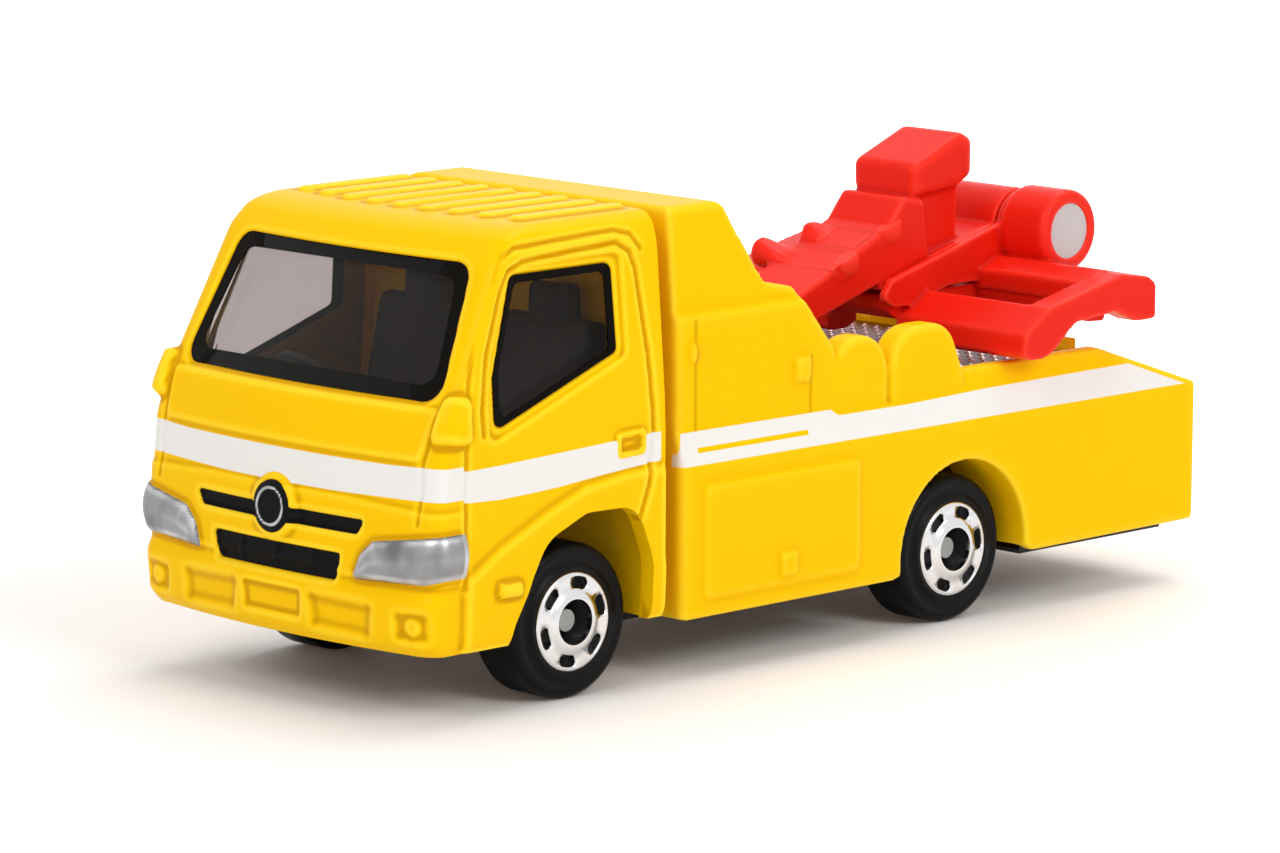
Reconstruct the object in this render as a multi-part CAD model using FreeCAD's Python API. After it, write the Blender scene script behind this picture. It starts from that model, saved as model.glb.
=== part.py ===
import FreeCAD, Part
import math
import os

# Die-cast pocket toy tow truck, 1 : 62 or so.  Millimetres, +X to the front
# bumper, +Y to the vehicle's left, +Z up, ground at z = 0.

V = FreeCAD.Vector
os.makedirs("parts", exist_ok=True)

# Wheels and axles, set in from the sides of the body
TYRE_R = 5.1
BODY_HALF_W = 13.9
WHEEL_INSET = 1.15
TYRE_FACE_Y = BODY_HALF_W - WHEEL_INSET
TYRE_WIDTH = 4.1
TYRE_IN_Y = TYRE_FACE_Y - TYRE_WIDTH
WHEEL_SIDE_PLAY = 0.65
RING_R = 3.25
RING_IN_R = 1.5
SLOT_COUNT = 6
SLOT_R = (2.17, 2.97)
SLOT_HALF_ANGLE = 16.5
SLOT_PHASE = {"front": 12.0, "rear": 21.0}
HUB_HOLE_R = 1.45
HUB_HOLE_DEPTH = 1.0
AXLE_R = 0.72
AXLE_PLAY = 0.06
FRONT_AXLE_X = 22.7
REAR_AXLE_X = -13.5
ARCH_R = 6.3

# Cab casting
CAB_REAR_X = 15.5
CAB_HALF_W = BODY_HALF_W
CAB_WALL = 0.9
CAB_BOTTOM_Z = 4.6
CAB_TOP_Z = 31.0
BELT_Z = 17.0
DRAWN_CABIN_H = 14.0
CORNER_SPREAD = 0.9
WINDOW_T = 0.6
WINDOW_SET_BACK = 0.3
ROOF_RIB_COUNT = 9
ROOF_RIB_PITCH = 2.5
BOSS_Z = 12.74
CORNER_SEAM_X = 33.3
MARKER_Y = CAB_HALF_W + 0.5

# Rear body moulding
BODY_FRONT_X = 13.9
BODY_TAIL_X = -37.8
BODY_BOTTOM_Z = 4.0
CREASE_Z = 14.1
WALL_TOP_Z = 17.5
WALL_TOP_Y = BODY_HALF_W - 0.9
WALL_IN_Y = BODY_HALF_W - 2.0
DECK_Z = 16.9
DECK_T = 0.6
KNEE_X = -28.0
LOCKER_Y = BODY_HALF_W - 0.55
HOUSING_TOP_Y = BODY_HALF_W - 1.5
SKIN = 1.0

# Boom and wheel lift
PIVOT_X = -3.2
PIVOT_Z = 18.9
PIVOT_R = 1.0
PIVOT_PLAY = 0.06
BEAM_Y = 3.0
TIP_X = -30.7
TIP_Z = 24.9
TIP_PIN_R = 1.95
TIP_PLAY = 0.05
KNUCKLE_R = 2.6
BOSS_R = 2.9
ARM_IN_Y = 3.2
ARM_OUT_Y = 3.9
BOSS_Y = 8.0
LIFT_Y = 15.3
CHEEK_IN_Y = 13.2

# Base plate
BASE_Z0 = 3.2
BASE_Z1 = 4.3
BASE_HALF_W = TYRE_IN_Y - WHEEL_SIDE_PLAY
RIVET_R = 1.5
RIVET_X = (28.5, -29.0)
POST_R = 1.9

# Everything is drawn from the door pillar datum and then moved along X, so
# that the origin lies midway between the bumper and the tail.
BUMPER_X = 37.3
FRAME_SHIFT_X = -(BUMPER_X + BODY_TAIL_X) / 2


def rounded_wire(points, lift):
    """Closed outline: points are (a, b, corner radius); lift maps (a, b) to space."""
    n = len(points)
    ends = []
    for i in range(n):
        a0, b0, r = points[i]
        p = V(a0, b0, 0)
        if r <= 0:
            ends.append((p, p, None))
            continue
        q = V(points[i - 1][0], points[i - 1][1], 0)
        s = V(points[(i + 1) % n][0], points[(i + 1) % n][1], 0)
        u = (q - p).normalize()
        w = (s - p).normalize()
        half = u.getAngle(w) / 2
        d = r / math.tan(half)
        mid = (u + w).normalize() * (r / math.sin(half) - r)
        ends.append((p + u * d, p + w * d, p + mid))
    edges = []
    for i in range(n):
        t0, t1, m = ends[i]
        if m is not None:
            edges.append(Part.Arc(lift(t0.x, t0.y), lift(m.x, m.y), lift(t1.x, t1.y)).toShape())
        nxt = ends[(i + 1) % n][0]
        if (nxt - t1).Length > 1e-4:
            edges.append(Part.makeLine(lift(t1.x, t1.y), lift(nxt.x, nxt.y)))
    return Part.Wire(Part.__sortEdges__(edges))


def corners(points, r=0.0):
    """Give every (a, b) pair the same corner radius unless it names its own."""
    return [(p[0], p[1], p[2] if len(p) > 2 else r) for p in points]


def prism_y(points, y0, y1, r=0.0):
    """Side outline (x, z) pulled from y0 to y1."""
    wire = rounded_wire(corners(points, r), lambda a, b: V(a, y0, b))
    return Part.Face(wire).extrude(V(0, y1 - y0, 0))


def prism_x(points, x0, x1, r=0.0):
    """Front outline (y, z) pulled from x0 to x1."""
    wire = rounded_wire(corners(points, r), lambda a, b: V(x0, a, b))
    return Part.Face(wire).extrude(V(x1 - x0, 0, 0))


def prism_z(points, z0, z1, r=0.0):
    """Plan outline (x, y) pulled from z0 to z1."""
    wire = rounded_wire(corners(points, r), lambda a, b: V(a, b, z0))
    return Part.Face(wire).extrude(V(0, 0, z1 - z0))


def stroke(points, width):
    """Outline of a line of one width drawn through open (a, b) points."""
    left = []
    right = []
    last = len(points) - 1
    for i, (a, b) in enumerate(points):
        before = points[max(i - 1, 0)]
        after = points[min(i + 1, last)]
        along = V(after[0] - before[0], after[1] - before[1], 0).normalize()
        left.append((a - along.y * width / 2, b + along.x * width / 2))
        right.append((a + along.y * width / 2, b - along.x * width / 2))
    return left + right[::-1]


def soft_prism_y(points, y0, y1, soft, r=0.0):
    """Side outline pulled from y0 to y1 with the rims of both ends rounded."""
    solid = prism_y(points, y0, y1, r)
    rims = [e for e in solid.Edges if abs(e.BoundBox.YLength) < 1e-6]
    return solid.makeFillet(soft, rims)


def raised_pad_y(outline, y, proud, slope, r):
    """Flat pad on a side wall whose rim slopes in by slope on its way out."""
    a0 = min(q[0] for q in outline)
    a1 = max(q[0] for q in outline)
    b0 = min(q[1] for q in outline)
    b1 = max(q[1] for q in outline)
    wires = []
    for yy, inset in ((y - 0.3, -0.3 * slope / proud), (y + proud, slope)):
        pts = [(a0 + inset, b0 + inset, r), (a1 - inset, b0 + inset, r), (a1 - inset, b1 - inset, r),
               (a0 + inset, b1 - inset, r)]
        wires.append(rounded_wire(pts, lambda a, b, q=yy: V(a, q, b)))
    return Part.makeLoft(wires, True, True)


def block(x0, x1, y0, y1, z0, z1):
    return Part.makeBox(x1 - x0, y1 - y0, z1 - z0, V(x0, y0, z0))


def drum_y(x, z, r, y0, y1):
    return Part.makeCylinder(r, y1 - y0, V(x, y0, z), V(0, 1, 0))


def soft_drum_y(x, z, r, y0, y1, soft):
    """Drum along Y whose outer rim, at y1, is rounded."""
    drum = drum_y(x, z, r, y0, y1)
    rim = [e for e in drum.Edges if abs(e.BoundBox.YMin - y1) < 1e-3 and e.BoundBox.YLength < 0.01]
    return drum.makeFillet(soft, rim)


def drum_z(x, y, r, z0, z1):
    return Part.makeCylinder(r, z1 - z0, V(x, y, z0), V(0, 0, 1))


def mirror(shape):
    return shape.mirror(V(0, 0, 0), V(0, 1, 0))


def both_sides(shape):
    return [shape, mirror(shape)]


def fused(shapes):
    out = shapes[0].fuse(shapes[1:]) if len(shapes) > 1 else shapes[0]
    return out.removeSplitter()


def save(name, shape):
    shape.translate(V(FRAME_SHIFT_X, 0, 0))
    shape.exportStep("parts/" + name + ".step")


def cabin_z(z):
    """Height of something drawn on a cabin DRAWN_CABIN_H tall, between the belt line and the roof."""
    return z if z <= BELT_Z else BELT_Z + (z - BELT_Z) * (CAB_TOP_Z - BELT_Z) / DRAWN_CABIN_H


def cabin(points):
    return [(p[0], cabin_z(p[1])) + tuple(p[2:]) for p in points]


# Cab form: plan sections up the height, each (z, front x, set-in of the sides, corner depth, bow)
CAB_SECTIONS = [
    (CAB_BOTTOM_Z, 36.7, 0.4, 2.2, 0.9),
    (5.3, 37.2, 0.0, 2.2, 0.9),
    (8.1, BUMPER_X, -0.1, 2.1, 0.9),
    (8.6, 36.9, 0.0, 2.0, 0.9),
    (12.8, 36.7, 0.0, 1.9, 0.9),
    (16.8, 36.3, 0.0, 1.8, 0.9),
    (cabin_z(19.2), 35.5, 0.1, 1.8, 0.9),
    (cabin_z(29.0), 30.5, 0.9, 1.8, 0.8),
    (cabin_z(30.3), 29.3, 1.3, 1.8, 0.7),
    (cabin_z(30.8), 28.0, 1.8, 1.7, 0.6),
    (CAB_TOP_Z, 26.6, 2.3, 1.6, 0.5),
]
SHOULDER_Z = cabin_z(29.0)


def cab_section(z, front, half, corner, bow, inset):
    """One plan outline of the cab, drawn in by inset, with a bowed front."""
    xf = front - inset
    hw = half - inset
    xr = CAB_REAR_X + inset
    ry = corner * CORNER_SPREAD
    k = 1 - math.cos(math.radians(45))
    a = V(xr, -hw, z)
    b = V(xf - corner, -hw, z)
    c = V(xf - bow - (corner - bow) * k, -hw + ry * k, z)
    d = V(xf - bow, -hw + ry, z)
    flip = lambda p: V(p.x, -p.y, p.z)
    edges = [
        Part.makeLine(a, b),
        Part.Arc(b, c, d).toShape(),
        Part.Arc(d, V(xf, 0, z), flip(d)).toShape(),
        Part.Arc(flip(d), flip(c), flip(b)).toShape(),
        Part.makeLine(flip(b), flip(a)),
        Part.makeLine(flip(a), a),
    ]
    return Part.Wire(edges)


def cab_form(inset, bottom_z=None):
    """The closed cab form drawn in by inset on every face but the underside."""
    wires = []
    for z, front, set_in, corner, bow in CAB_SECTIONS:
        zz = z - inset * max(0.0, (z - SHOULDER_Z) / (CAB_TOP_Z - SHOULDER_Z))
        if bottom_z is not None and z == CAB_BOTTOM_Z:
            zz = bottom_z
        wires.append(cab_section(zz, front, CAB_HALF_W - set_in, corner, bow, inset))
    return Part.makeLoft(wires, True, True)


WINDSCREEN = cabin([(-12.2, 20.4, 1.2), (12.2, 20.4, 1.2), (10.85, 28.75, 1.3), (-10.85, 28.75, 1.3)])
SIDE_WINDOW = cabin([(28.35, 28.06, 0.6), (19.6, 28.06, 0.6), (19.45, 22.37, 0.5), (30.4, 18.47, 0.5),
                     (30.35, 21.78, 1.0)])

# Relief of the cab front, (y, z, corner radius), for the left half or both
LAMP_OUT_Y = CAB_HALF_W + 1.6
FRONT_PANEL = [(-12.1, 16.88, 0.5), (12.1, 16.88, 0.5), (12.5, 20.1, 0.3), (-12.5, 20.1, 0.3)]
FRONT_MASK = [(-LAMP_OUT_Y, 9.12, 0), (LAMP_OUT_Y, 9.12, 0), (LAMP_OUT_Y, 13.9, 0), (13.5, 13.75, 0.6),
              (6.15, 14.14, 0), (-6.15, 14.14, 0), (-13.5, 13.75, 0.6), (-LAMP_OUT_Y, 13.9, 0)]
GRILLE_LOW = [(-6.1, 10.43, 0.3), (6.1, 10.43, 0.3), (5.55, 8.64, 0.3), (-5.55, 8.64, 0.3)]
GRILLE_TOP = [(-8.0, 12.8, 0.2), (8.0, 12.8, 0.2), (7.35, 11.81, 0.2), (-7.35, 11.81, 0.2)]
HEADLAMP = [(7.2, 8.99, 0.25), (7.85, 10.64, 0.9), (8.9, 11.6, 0.5), (LAMP_OUT_Y, 12.6, 0),
            (LAMP_OUT_Y, 9.97, 0), (13.2, 9.27, 0.5)]
PLATE_PIT = [(-2.6, 5.9, 0.2), (2.6, 5.9, 0.2), (2.7, 7.65, 0.2), (-2.7, 7.65, 0.2)]
BUMPER_PIT = [(3.8, 5.61, 0.3), (8.65, 5.46, 0.3), (8.85, 7.46, 0.3), (3.5, 7.6, 0.3)]
FOG_PIT = [(10.95, 5.64, 0.35), (13.35, 5.7, 0.35), (13.35, 7.4, 0.35), (10.9, 7.28, 0.35)]
FOG_LAMP = (12.25, 6.5, 0.6)
FRONT_SEAM = [(12.35, 13.06), (12.35, 16.75), (12.75, 20.4)]
MIRROR_STUB = cabin([(12.75, 18.05, 0.5), (15.2, 18.05, 0.5), (15.2, 20.85, 0.5), (12.75, 20.85, 0.5)])

# Relief of the cab sides, (x, z)
DOOR_GAP = cabin([(17.93, 11.47), (17.1, 13.55), (16.47, 17.0), (16.74, 21.78), (17.53, 27.56),
                  (17.98, 28.66), (19.04, 29.3), (23.35, 29.1), (27.36, 28.86), (28.65, 28.36),
                  (29.45, 27.16), (30.95, 23.27), (31.54, 19.78), (31.47, 18.37)])
GUTTER = cabin([(16.99, 28.76), (17.71, 29.74), (19.08, 30.08), (23.68, 29.93), (27.98, 29.74), (29.3, 29.15),
                (30.0, 27.76)])
WINDOW_FRAME = cabin([(28.65, 28.61, 0.8), (18.88, 28.71, 0.6), (18.78, 22.08, 0.6), (31.02, 17.66, 0.6),
                      (30.95, 21.98, 1.0)])
PILLAR_SEAM = cabin([(33.26, 8.79), (33.07, 16.45), (33.0, 19.68), (32.5, 22.08), (31.0, 27.36),
                     (30.1, 29.3)])
FLARE = [(CORNER_SEAM_X, 4.6), (CORNER_SEAM_X, 9.19), (30.32, 10.97), (26.08, 12.86), (22.79, 14.05),
         (19.1, 14.5), (CAB_REAR_X + 0.1, 14.55), (CAB_REAR_X + 0.1, 4.6)]
ARCH = [(29.61, 3.9, 0), (29.22, 5.75, 2.0), (26.28, 11.0, 3.0), (22.75, 12.39, 2.0), (18.26, 12.29, 2.2),
        (16.8, 8.72, 3.0), (16.9, 3.9, 0)]
SIDE_MARKER = [(28.74, 7.9, 0.18), (30.58, 7.95, 0.18), (30.58, 8.74, 0.18), (28.74, 8.69, 0.18)]
HANDLE_RIM = [(17.35, 15.55, 0.4), (19.94, 15.45, 0.4), (19.94, 17.1, 0.3), (17.35, 17.15, 0.3)]
HANDLE_PIT = [(17.75, 15.9, 0.3), (19.55, 15.8, 0.3), (19.55, 16.8, 0.2), (17.75, 16.85, 0.2)]


def window_prisms(shrink):
    """Cutters for the windscreen and both side windows, drawn in by shrink."""
    drawn = []
    for outline in (WINDSCREEN, SIDE_WINDOW):
        ca = sum(p[0] for p in outline) / len(outline)
        cb = sum(p[1] for p in outline) / len(outline)
        drawn.append([(a - math.copysign(shrink, a - ca), b - math.copysign(shrink, b - cb), r)
                      for a, b, r in outline])
    return [prism_x(drawn[0], 27.5, 40)] + both_sides(prism_y(drawn[1], 9.5, CAB_HALF_W + 2.0))


def front_prism(outline):
    return prism_x(outline, CORNER_SEAM_X, 40)


def raised(prisms, proud):
    """What the prisms leave of a layer that stands proud of the cab form."""
    layer = cab_form(-proud).cut(cab_form(CAB_WALL / 2))
    return fused(prisms).common(layer)


def sunk(prisms, depth):
    """What has to be cut so that the prisms sink into the cab form by depth."""
    return fused(prisms).cut(cab_form(depth))


def make_boss():
    """Plain round boss between the grille wings: a collar, a disc and a fine rim."""
    face_x = CAB_SECTIONS[4][1]
    parts = []
    for radius, proud in ((2.1, 0.22), (1.66, 0.42)):
        parts.append(Part.makeCylinder(radius, 0.5 + proud, V(face_x - 0.5, 0, BOSS_Z), V(1, 0, 0)))
    rim = Part.makeCylinder(1.25, 0.5, V(face_x, 0, BOSS_Z), V(1, 0, 0))
    rim = rim.cut(Part.makeCylinder(1.02, 0.6, V(face_x, 0, BOSS_Z), V(1, 0, 0)))
    return parts + [rim]


def make_grille_bars():
    """Slats and uprights left standing inside the two grilles, just below the face."""
    bars = [front_prism([(-5.6, 9.35), (5.6, 9.35), (5.7, 9.65), (-5.7, 9.65)]),
            front_prism([(-7.6, 12.15), (7.6, 12.15), (7.7, 12.4), (-7.7, 12.4)])]
    for y in (-3.4, 0.0, 3.4):
        bars.append(front_prism([(y - 0.14, 8.6), (y + 0.14, 8.6), (y + 0.14, 10.4), (y - 0.14, 10.4)]))
    return raised(bars, -0.15)


def make_cab_shell():
    shell = cab_form(0).cut(cab_form(CAB_WALL, CAB_BOTTOM_Z - 3))
    side = lambda outline: both_sides(prism_y(outline, 9.6, CAB_HALF_W + 2.0))
    pads = [
        raised([front_prism(FRONT_MASK)], 0.12),
        raised([front_prism(FRONT_PANEL)], 0.15),
        raised(both_sides(front_prism(HEADLAMP)), 0.3),
        raised(side(FLARE), 0.25),
        raised(side(HANDLE_RIM), 0.2),
    ]
    shell = fused([shell] + pads + make_boss())
    pits = [
        sunk([front_prism(GRILLE_LOW)], 0.4),
        sunk([front_prism(GRILLE_TOP).cut(Part.makeCylinder(1.66, 20, V(25, 0, BOSS_Z), V(1, 0, 0)))], 0.3),
        sunk([front_prism(PLATE_PIT)] + both_sides(front_prism(BUMPER_PIT)), 0.28),
        sunk(both_sides(front_prism(FOG_PIT)), 0.28),
        sunk(both_sides(front_prism(stroke(FRONT_SEAM, 0.25))), 0.16),
        sunk(side(WINDOW_FRAME) + side(stroke(PILLAR_SEAM, 0.28)), 0.14),
        sunk(side(stroke(DOOR_GAP, 0.26)) + side(stroke(GUTTER, 0.24)), 0.2),
        sunk(side(HANDLE_PIT), 0.15),
    ]
    for pit in pits:
        shell = shell.cut(pit)
    shell = shell.cut(window_prisms(0))
    inner = block(10, 40, -CAB_WALL - 9.5, CAB_WALL + 9.5, 0, 40)
    shell = shell.cut(prism_y(ARCH, -20, 20).cut(inner))
    fog_y, fog_z, fog_r = FOG_LAMP
    extras = [make_grille_bars()] + both_sides(prism_y(SIDE_MARKER, MARKER_Y - 1.0, MARKER_Y))
    fog = Part.makeCylinder(fog_r, 20, V(25, fog_y, fog_z), V(1, 0, 0))
    extras.append(raised(both_sides(fog.common(block(CORNER_SEAM_X, 40, 0, 20, 0, 20))), 0.0))
    extras.append(raised(both_sides(prism_x(MIRROR_STUB, 32.7, 40)), 0.85))
    front_inside = CAB_SECTIONS[4][1] - CAB_WALL / 2
    extras.append(drum_z(RIVET_X[0], 0, POST_R, BASE_Z1, 11.7))
    extras.append(block(RIVET_X[0], front_inside, -0.6, 0.6, CAB_BOTTOM_Z + 0.4, 11.2))
    for i in range(ROOF_RIB_COUNT):
        y = ROOF_RIB_PITCH * (i - (ROOF_RIB_COUNT - 1) / 2)
        front_x = 26.4 - 0.9 * (y / 10) ** 2
        outline = [(CAB_REAR_X + 0.4, CAB_TOP_Z - 0.3, 0), (front_x, CAB_TOP_Z - 0.3, 0),
                   (front_x - 0.4, CAB_TOP_Z + 0.28, 0.4), (CAB_REAR_X + 0.6, CAB_TOP_Z + 0.28, 0.3)]
        extras.append(prism_y(outline, y - 0.6, y + 0.6))
    return fused([shell] + extras)


def make_windows():
    liner = cab_form(CAB_WALL + 0.02).cut(cab_form(CAB_WALL + WINDOW_T))
    band = block(CAB_REAR_X + 2.4, 40, -20, 20, cabin_z(17.6), cabin_z(29.4))
    liner = liner.common(band)
    plugs = cab_form(WINDOW_SET_BACK).cut(cab_form(CAB_WALL + WINDOW_T))
    cutters = window_prisms(0.03)
    plug = plugs.common(cutters[0].fuse(cutters[1:]))
    return fused([liner, plug])


# Humps of the body sides behind the upper lockers, (x, z, corner radius)
HUMPS = (
    [(-0.8, 15.0, 0), (-0.8, 20.9, 2.6), (-6.25, 20.9, 2.6), (-6.25, 15.0, 0)],
    [(-6.55, 15.0, 0), (-6.55, 21.0, 2.8), (-12.3, 21.0, 2.4), (-13.9, 17.3, 0), (-13.9, 15.0, 0)],
)
LEDGE_Z = 15.95
LEDGE_Y = BODY_HALF_W - 0.9


def make_ledge():
    """Set-back of the side wall at the humps, ending in a slanting face at the rear."""
    wires = []
    for y, back in ((LEDGE_Y, 0.0), (BODY_HALF_W + 0.4, 1.2)):
        pts = [(-1.3, LEDGE_Z, 0), (-8.9 - back, LEDGE_Z, 0), (-11.4 - back, 17.9, 0), (-11.4 - back, 19.5, 0),
               (-1.3, 19.5, 0)]
        wires.append(rounded_wire(pts, lambda a, b, q=y: V(a, q, b)))
    return Part.makeLoft(wires, True, True)


def make_rear_body():
    side = [
        (BODY_FRONT_X, BODY_BOTTOM_Z, 0.4), (BODY_FRONT_X, WALL_TOP_Z, 0), (KNEE_X, WALL_TOP_Z, 0.6),
        (BODY_TAIL_X, CREASE_Z, 0.4), (BODY_TAIL_X, 4.3, 0.6), (-20.4, 4.2, 0.8),
        (-19.7, 5.1, 0), (-7.4, 5.1, 0), (-7.3, 4.3, 0.2), (-6.7, BODY_BOTTOM_Z, 0.3),
    ]
    front = [
        (-BODY_HALF_W, 0, 0), (BODY_HALF_W, 0, 0), (BODY_HALF_W, CREASE_Z, 0.4),
        (WALL_TOP_Y, WALL_TOP_Z, 0.3), (-WALL_TOP_Y, WALL_TOP_Z, 0.3), (-BODY_HALF_W, CREASE_Z, 0.4),
    ]
    plan = [(BODY_FRONT_X, -BODY_HALF_W, 0.6), (BODY_FRONT_X, BODY_HALF_W, 0.6),
            (BODY_TAIL_X, BODY_HALF_W, 0.5), (BODY_TAIL_X, -BODY_HALF_W, 0.5)]
    base = prism_y(side, -20, 20).common(prism_x(front, -50, 50)).common(prism_z(plan, 0, 40))
    housing_side = [
        (BODY_FRONT_X, 12, 0), (BODY_FRONT_X, CAB_TOP_Z, 0.5), (9.0, CAB_TOP_Z, 0.5), (5.35, 25.4, 0.3),
        (2.6, 24.8, 0.6), (-1.05, 20.3, 0.5), (-1.35, 12, 0),
    ]
    housing_front = [
        (-LOCKER_Y, 10, 0), (LOCKER_Y, 10, 0), (LOCKER_Y, 23.7, 0.3), (HOUSING_TOP_Y + 0.55, 24.2, 0.2),
        (HOUSING_TOP_Y, CAB_TOP_Z, 0.6), (-HOUSING_TOP_Y, CAB_TOP_Z, 0.6), (-HOUSING_TOP_Y - 0.55, 24.2, 0.2),
        (-LOCKER_Y, 23.7, 0.3),
    ]
    housing_plan = [(BODY_FRONT_X, -LOCKER_Y, 0.5), (BODY_FRONT_X, LOCKER_Y, 0.5), (-1.4, LOCKER_Y, 0.35),
                    (-1.4, -LOCKER_Y, 0.35)]
    housing = prism_y(housing_side, -20, 20).common(prism_x(housing_front, -50, 50))
    housing = housing.common(prism_z(housing_plan, 0, 40))
    base = base.cut(both_sides(make_ledge()))
    humps = []
    for outline in HUMPS:
        humps += both_sides(soft_prism_y(outline, WALL_IN_Y - 0.6, LOCKER_Y, 0.35))
    solid = fused([base, housing] + humps)
    pocket = block(KNEE_X + 0.2, -1.35, -WALL_IN_Y, WALL_IN_Y, DECK_Z - DECK_T, 40)
    hump_keep = fused(humps)
    solid = solid.cut(pocket.cut(hump_keep))
    slope = prism_y([(KNEE_X + 0.2, 16.6), (KNEE_X + 0.2, 19), (-40, 19), (-40, 12.5)], -WALL_IN_Y, WALL_IN_Y)
    solid = solid.cut(slope)
    cavity = block(BODY_TAIL_X + SKIN, BODY_FRONT_X - SKIN, -BODY_HALF_W + SKIN, BODY_HALF_W - SKIN, 0, 12.4)
    room_y = WALL_IN_Y - 0.3
    upper = prism_y([(BODY_FRONT_X - SKIN, 12), (BODY_FRONT_X - SKIN, CAB_TOP_Z - 1.1), (9.6, CAB_TOP_Z - 1.1),
                     (5.9, 24.3), (3.0, 23.7), (-0.1, 20.0), (-0.35, 12)], -room_y, room_y)
    under = block(KNEE_X + 1, -0.35, -room_y, room_y, 12, DECK_Z - DECK_T - SKIN)
    solid = solid.cut(fused([cavity, upper, under]))
    tubs = []
    for s in both_sides(drum_y(REAR_AXLE_X, TYRE_R, ARCH_R + 0.8, BASE_HALF_W + 0.2, BODY_HALF_W - 0.2)):
        tubs.append(s.common(block(-40, 20, -20, 20, BODY_BOTTOM_Z + 0.6, 13)))
    solid = fused([solid] + tubs)
    arch = drum_y(REAR_AXLE_X, TYRE_R, ARCH_R, -20, 20)
    below = block(REAR_AXLE_X - 5.9, REAR_AXLE_X + 5.9, -20, 20, 0, TYRE_R)
    solid = solid.cut(arch).cut(below)
    slot_y = BASE_HALF_W + 0.1
    solid = solid.cut(block(BODY_FRONT_X - SKIN - 1, BODY_FRONT_X + 1, -slot_y, slot_y, 0, BASE_Z1 + 0.05))
    solid = solid.cut(make_locker_seams())
    solid = fused([solid] + make_body_trim() + make_boom_lugs())
    bore = drum_y(PIVOT_X, PIVOT_Z, PIVOT_R + PIVOT_PLAY, -(BEAM_Y + 1.4), BEAM_Y + 1.4)
    return solid.cut(bore)


def make_locker_seams():
    """Fine gaps down the front and rear of the upper locker doors."""
    seams = []
    for x, z1, width in ((12.2, 23.6, 0.24), (1.35, 20.0, 0.14)):
        seams += both_sides(block(x - width / 2, x + width / 2, LOCKER_Y - 0.15, LOCKER_Y + 1, 16.2, z1))
    return fused(seams)


def make_body_trim():
    """Locker doors, latches and hinges, the sill behind the deck and the tail lamps."""
    parts = []
    door = raised_pad_y([(-2.95, 5.15), (11.95, 12.85)], BODY_HALF_W, 0.22, 0.22, 0.45)
    latch = raised_pad_y([(3.35, 5.8), (4.9, 7.45)], BODY_HALF_W + 0.2, 0.3, 0.15, 0.2)
    catch = raised_pad_y([(1.45, 18.5), (2.9, 20.15)], LOCKER_Y, 0.35, 0.15, 0.2)
    hinge = raised_pad_y([(11.95, 20.9), (12.65, 22.0)], LOCKER_Y, 0.25, 0.12, 0.15)
    for solid in (door, latch, catch, hinge):
        parts += both_sides(solid)
    parts += both_sides(block(KNEE_X - 1.0, KNEE_X + 0.2, 8.3, 10.2, 15.5, WALL_TOP_Z - 0.1))
    for y0, y1 in ((10.2, 12.9), (7.2, 9.9)):
        parts += both_sides(block(BODY_TAIL_X - 0.2, BODY_TAIL_X + 0.5, y0, y1, 8.6, 10.4))
    return parts


def make_boom_lugs():
    """Post for the rear rivet and the two lugs that carry the boom pivot."""
    lugs = [drum_z(RIVET_X[1], 0, POST_R, BASE_Z1, DECK_Z - 2.0)]
    outline = [(PIVOT_X - 2.0, 15.8, 0), (PIVOT_X - 1.5, PIVOT_Z + 1.5, 1.2), (PIVOT_X + 1.5, PIVOT_Z + 1.5, 1.2),
               (PIVOT_X + 1.8, 15.8, 0)]
    return lugs + both_sides(prism_y(outline, BEAM_Y + 0.25, BEAM_Y + 1.7))


def make_deck_plate():
    plate = block(KNEE_X + 0.2, -1.35, -WALL_IN_Y, WALL_IN_Y, DECK_Z - DECK_T, DECK_Z)
    notch = block(PIVOT_X - 2.3, 0, -BEAM_Y - 2.0, BEAM_Y + 2.0, 10, 20)
    humps = both_sides(block(-13.9, 0, WALL_IN_Y - 0.7, 20, 10, 25))
    plate = plate.cut(notch)
    for h in humps:
        plate = plate.cut(h)
    return plate


def make_base():
    outline = [
        (31.2, -BASE_HALF_W, 2.6), (31.2, BASE_HALF_W, 2.6), (-35.5, BASE_HALF_W, 1.0),
        (-35.5, -BASE_HALF_W, 1.0),
    ]
    plate = prism_z(outline, BASE_Z0, BASE_Z1)
    wide_y = BODY_HALF_W - SKIN - 0.3
    wide = fused([block(-6.6, BODY_FRONT_X - SKIN - 0.1, -wide_y, wide_y, BASE_Z0 + 0.6, BASE_Z1),
                  block(-35.5, -20.6, -wide_y, wide_y, BASE_Z0 + 0.6, BASE_Z1)])
    parts = [plate, wide]
    saddle_y = BASE_HALF_W - 0.2
    for x in (FRONT_AXLE_X, REAR_AXLE_X):
        parts.append(prism_y([(x - 3.0, BASE_Z0, 0), (x - 2.0, TYRE_R + 1.8, 0.8),
                              (x + 2.0, TYRE_R + 1.8, 0.8), (x + 3.0, BASE_Z0, 0)], -saddle_y, saddle_y))
    body = fused(parts)
    for x in (FRONT_AXLE_X, REAR_AXLE_X):
        body = body.cut(drum_y(x, TYRE_R, AXLE_R + AXLE_PLAY, -10, 10))
        body = body.cut(block(x - 3.2, x + 3.2, -5.2, 5.2, BASE_Z0 + 1.0, 8))
    for x in RIVET_X:
        body = body.cut(drum_z(x, 0, RIVET_R + 0.25, 0, BASE_Z0 + 0.5))
    return body


def wheel_profile_turn(points, x, y_face, sign):
    """Revolve (radius, depth from the outer face) points about the axle."""
    pts = [V(x, y_face - sign * d, TYRE_R + r) for r, d in points]
    face = Part.Face(Part.makePolygon(pts + [pts[0]]))
    return face.revolve(V(x, 0, TYRE_R), V(0, 1, 0), 360)


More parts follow.
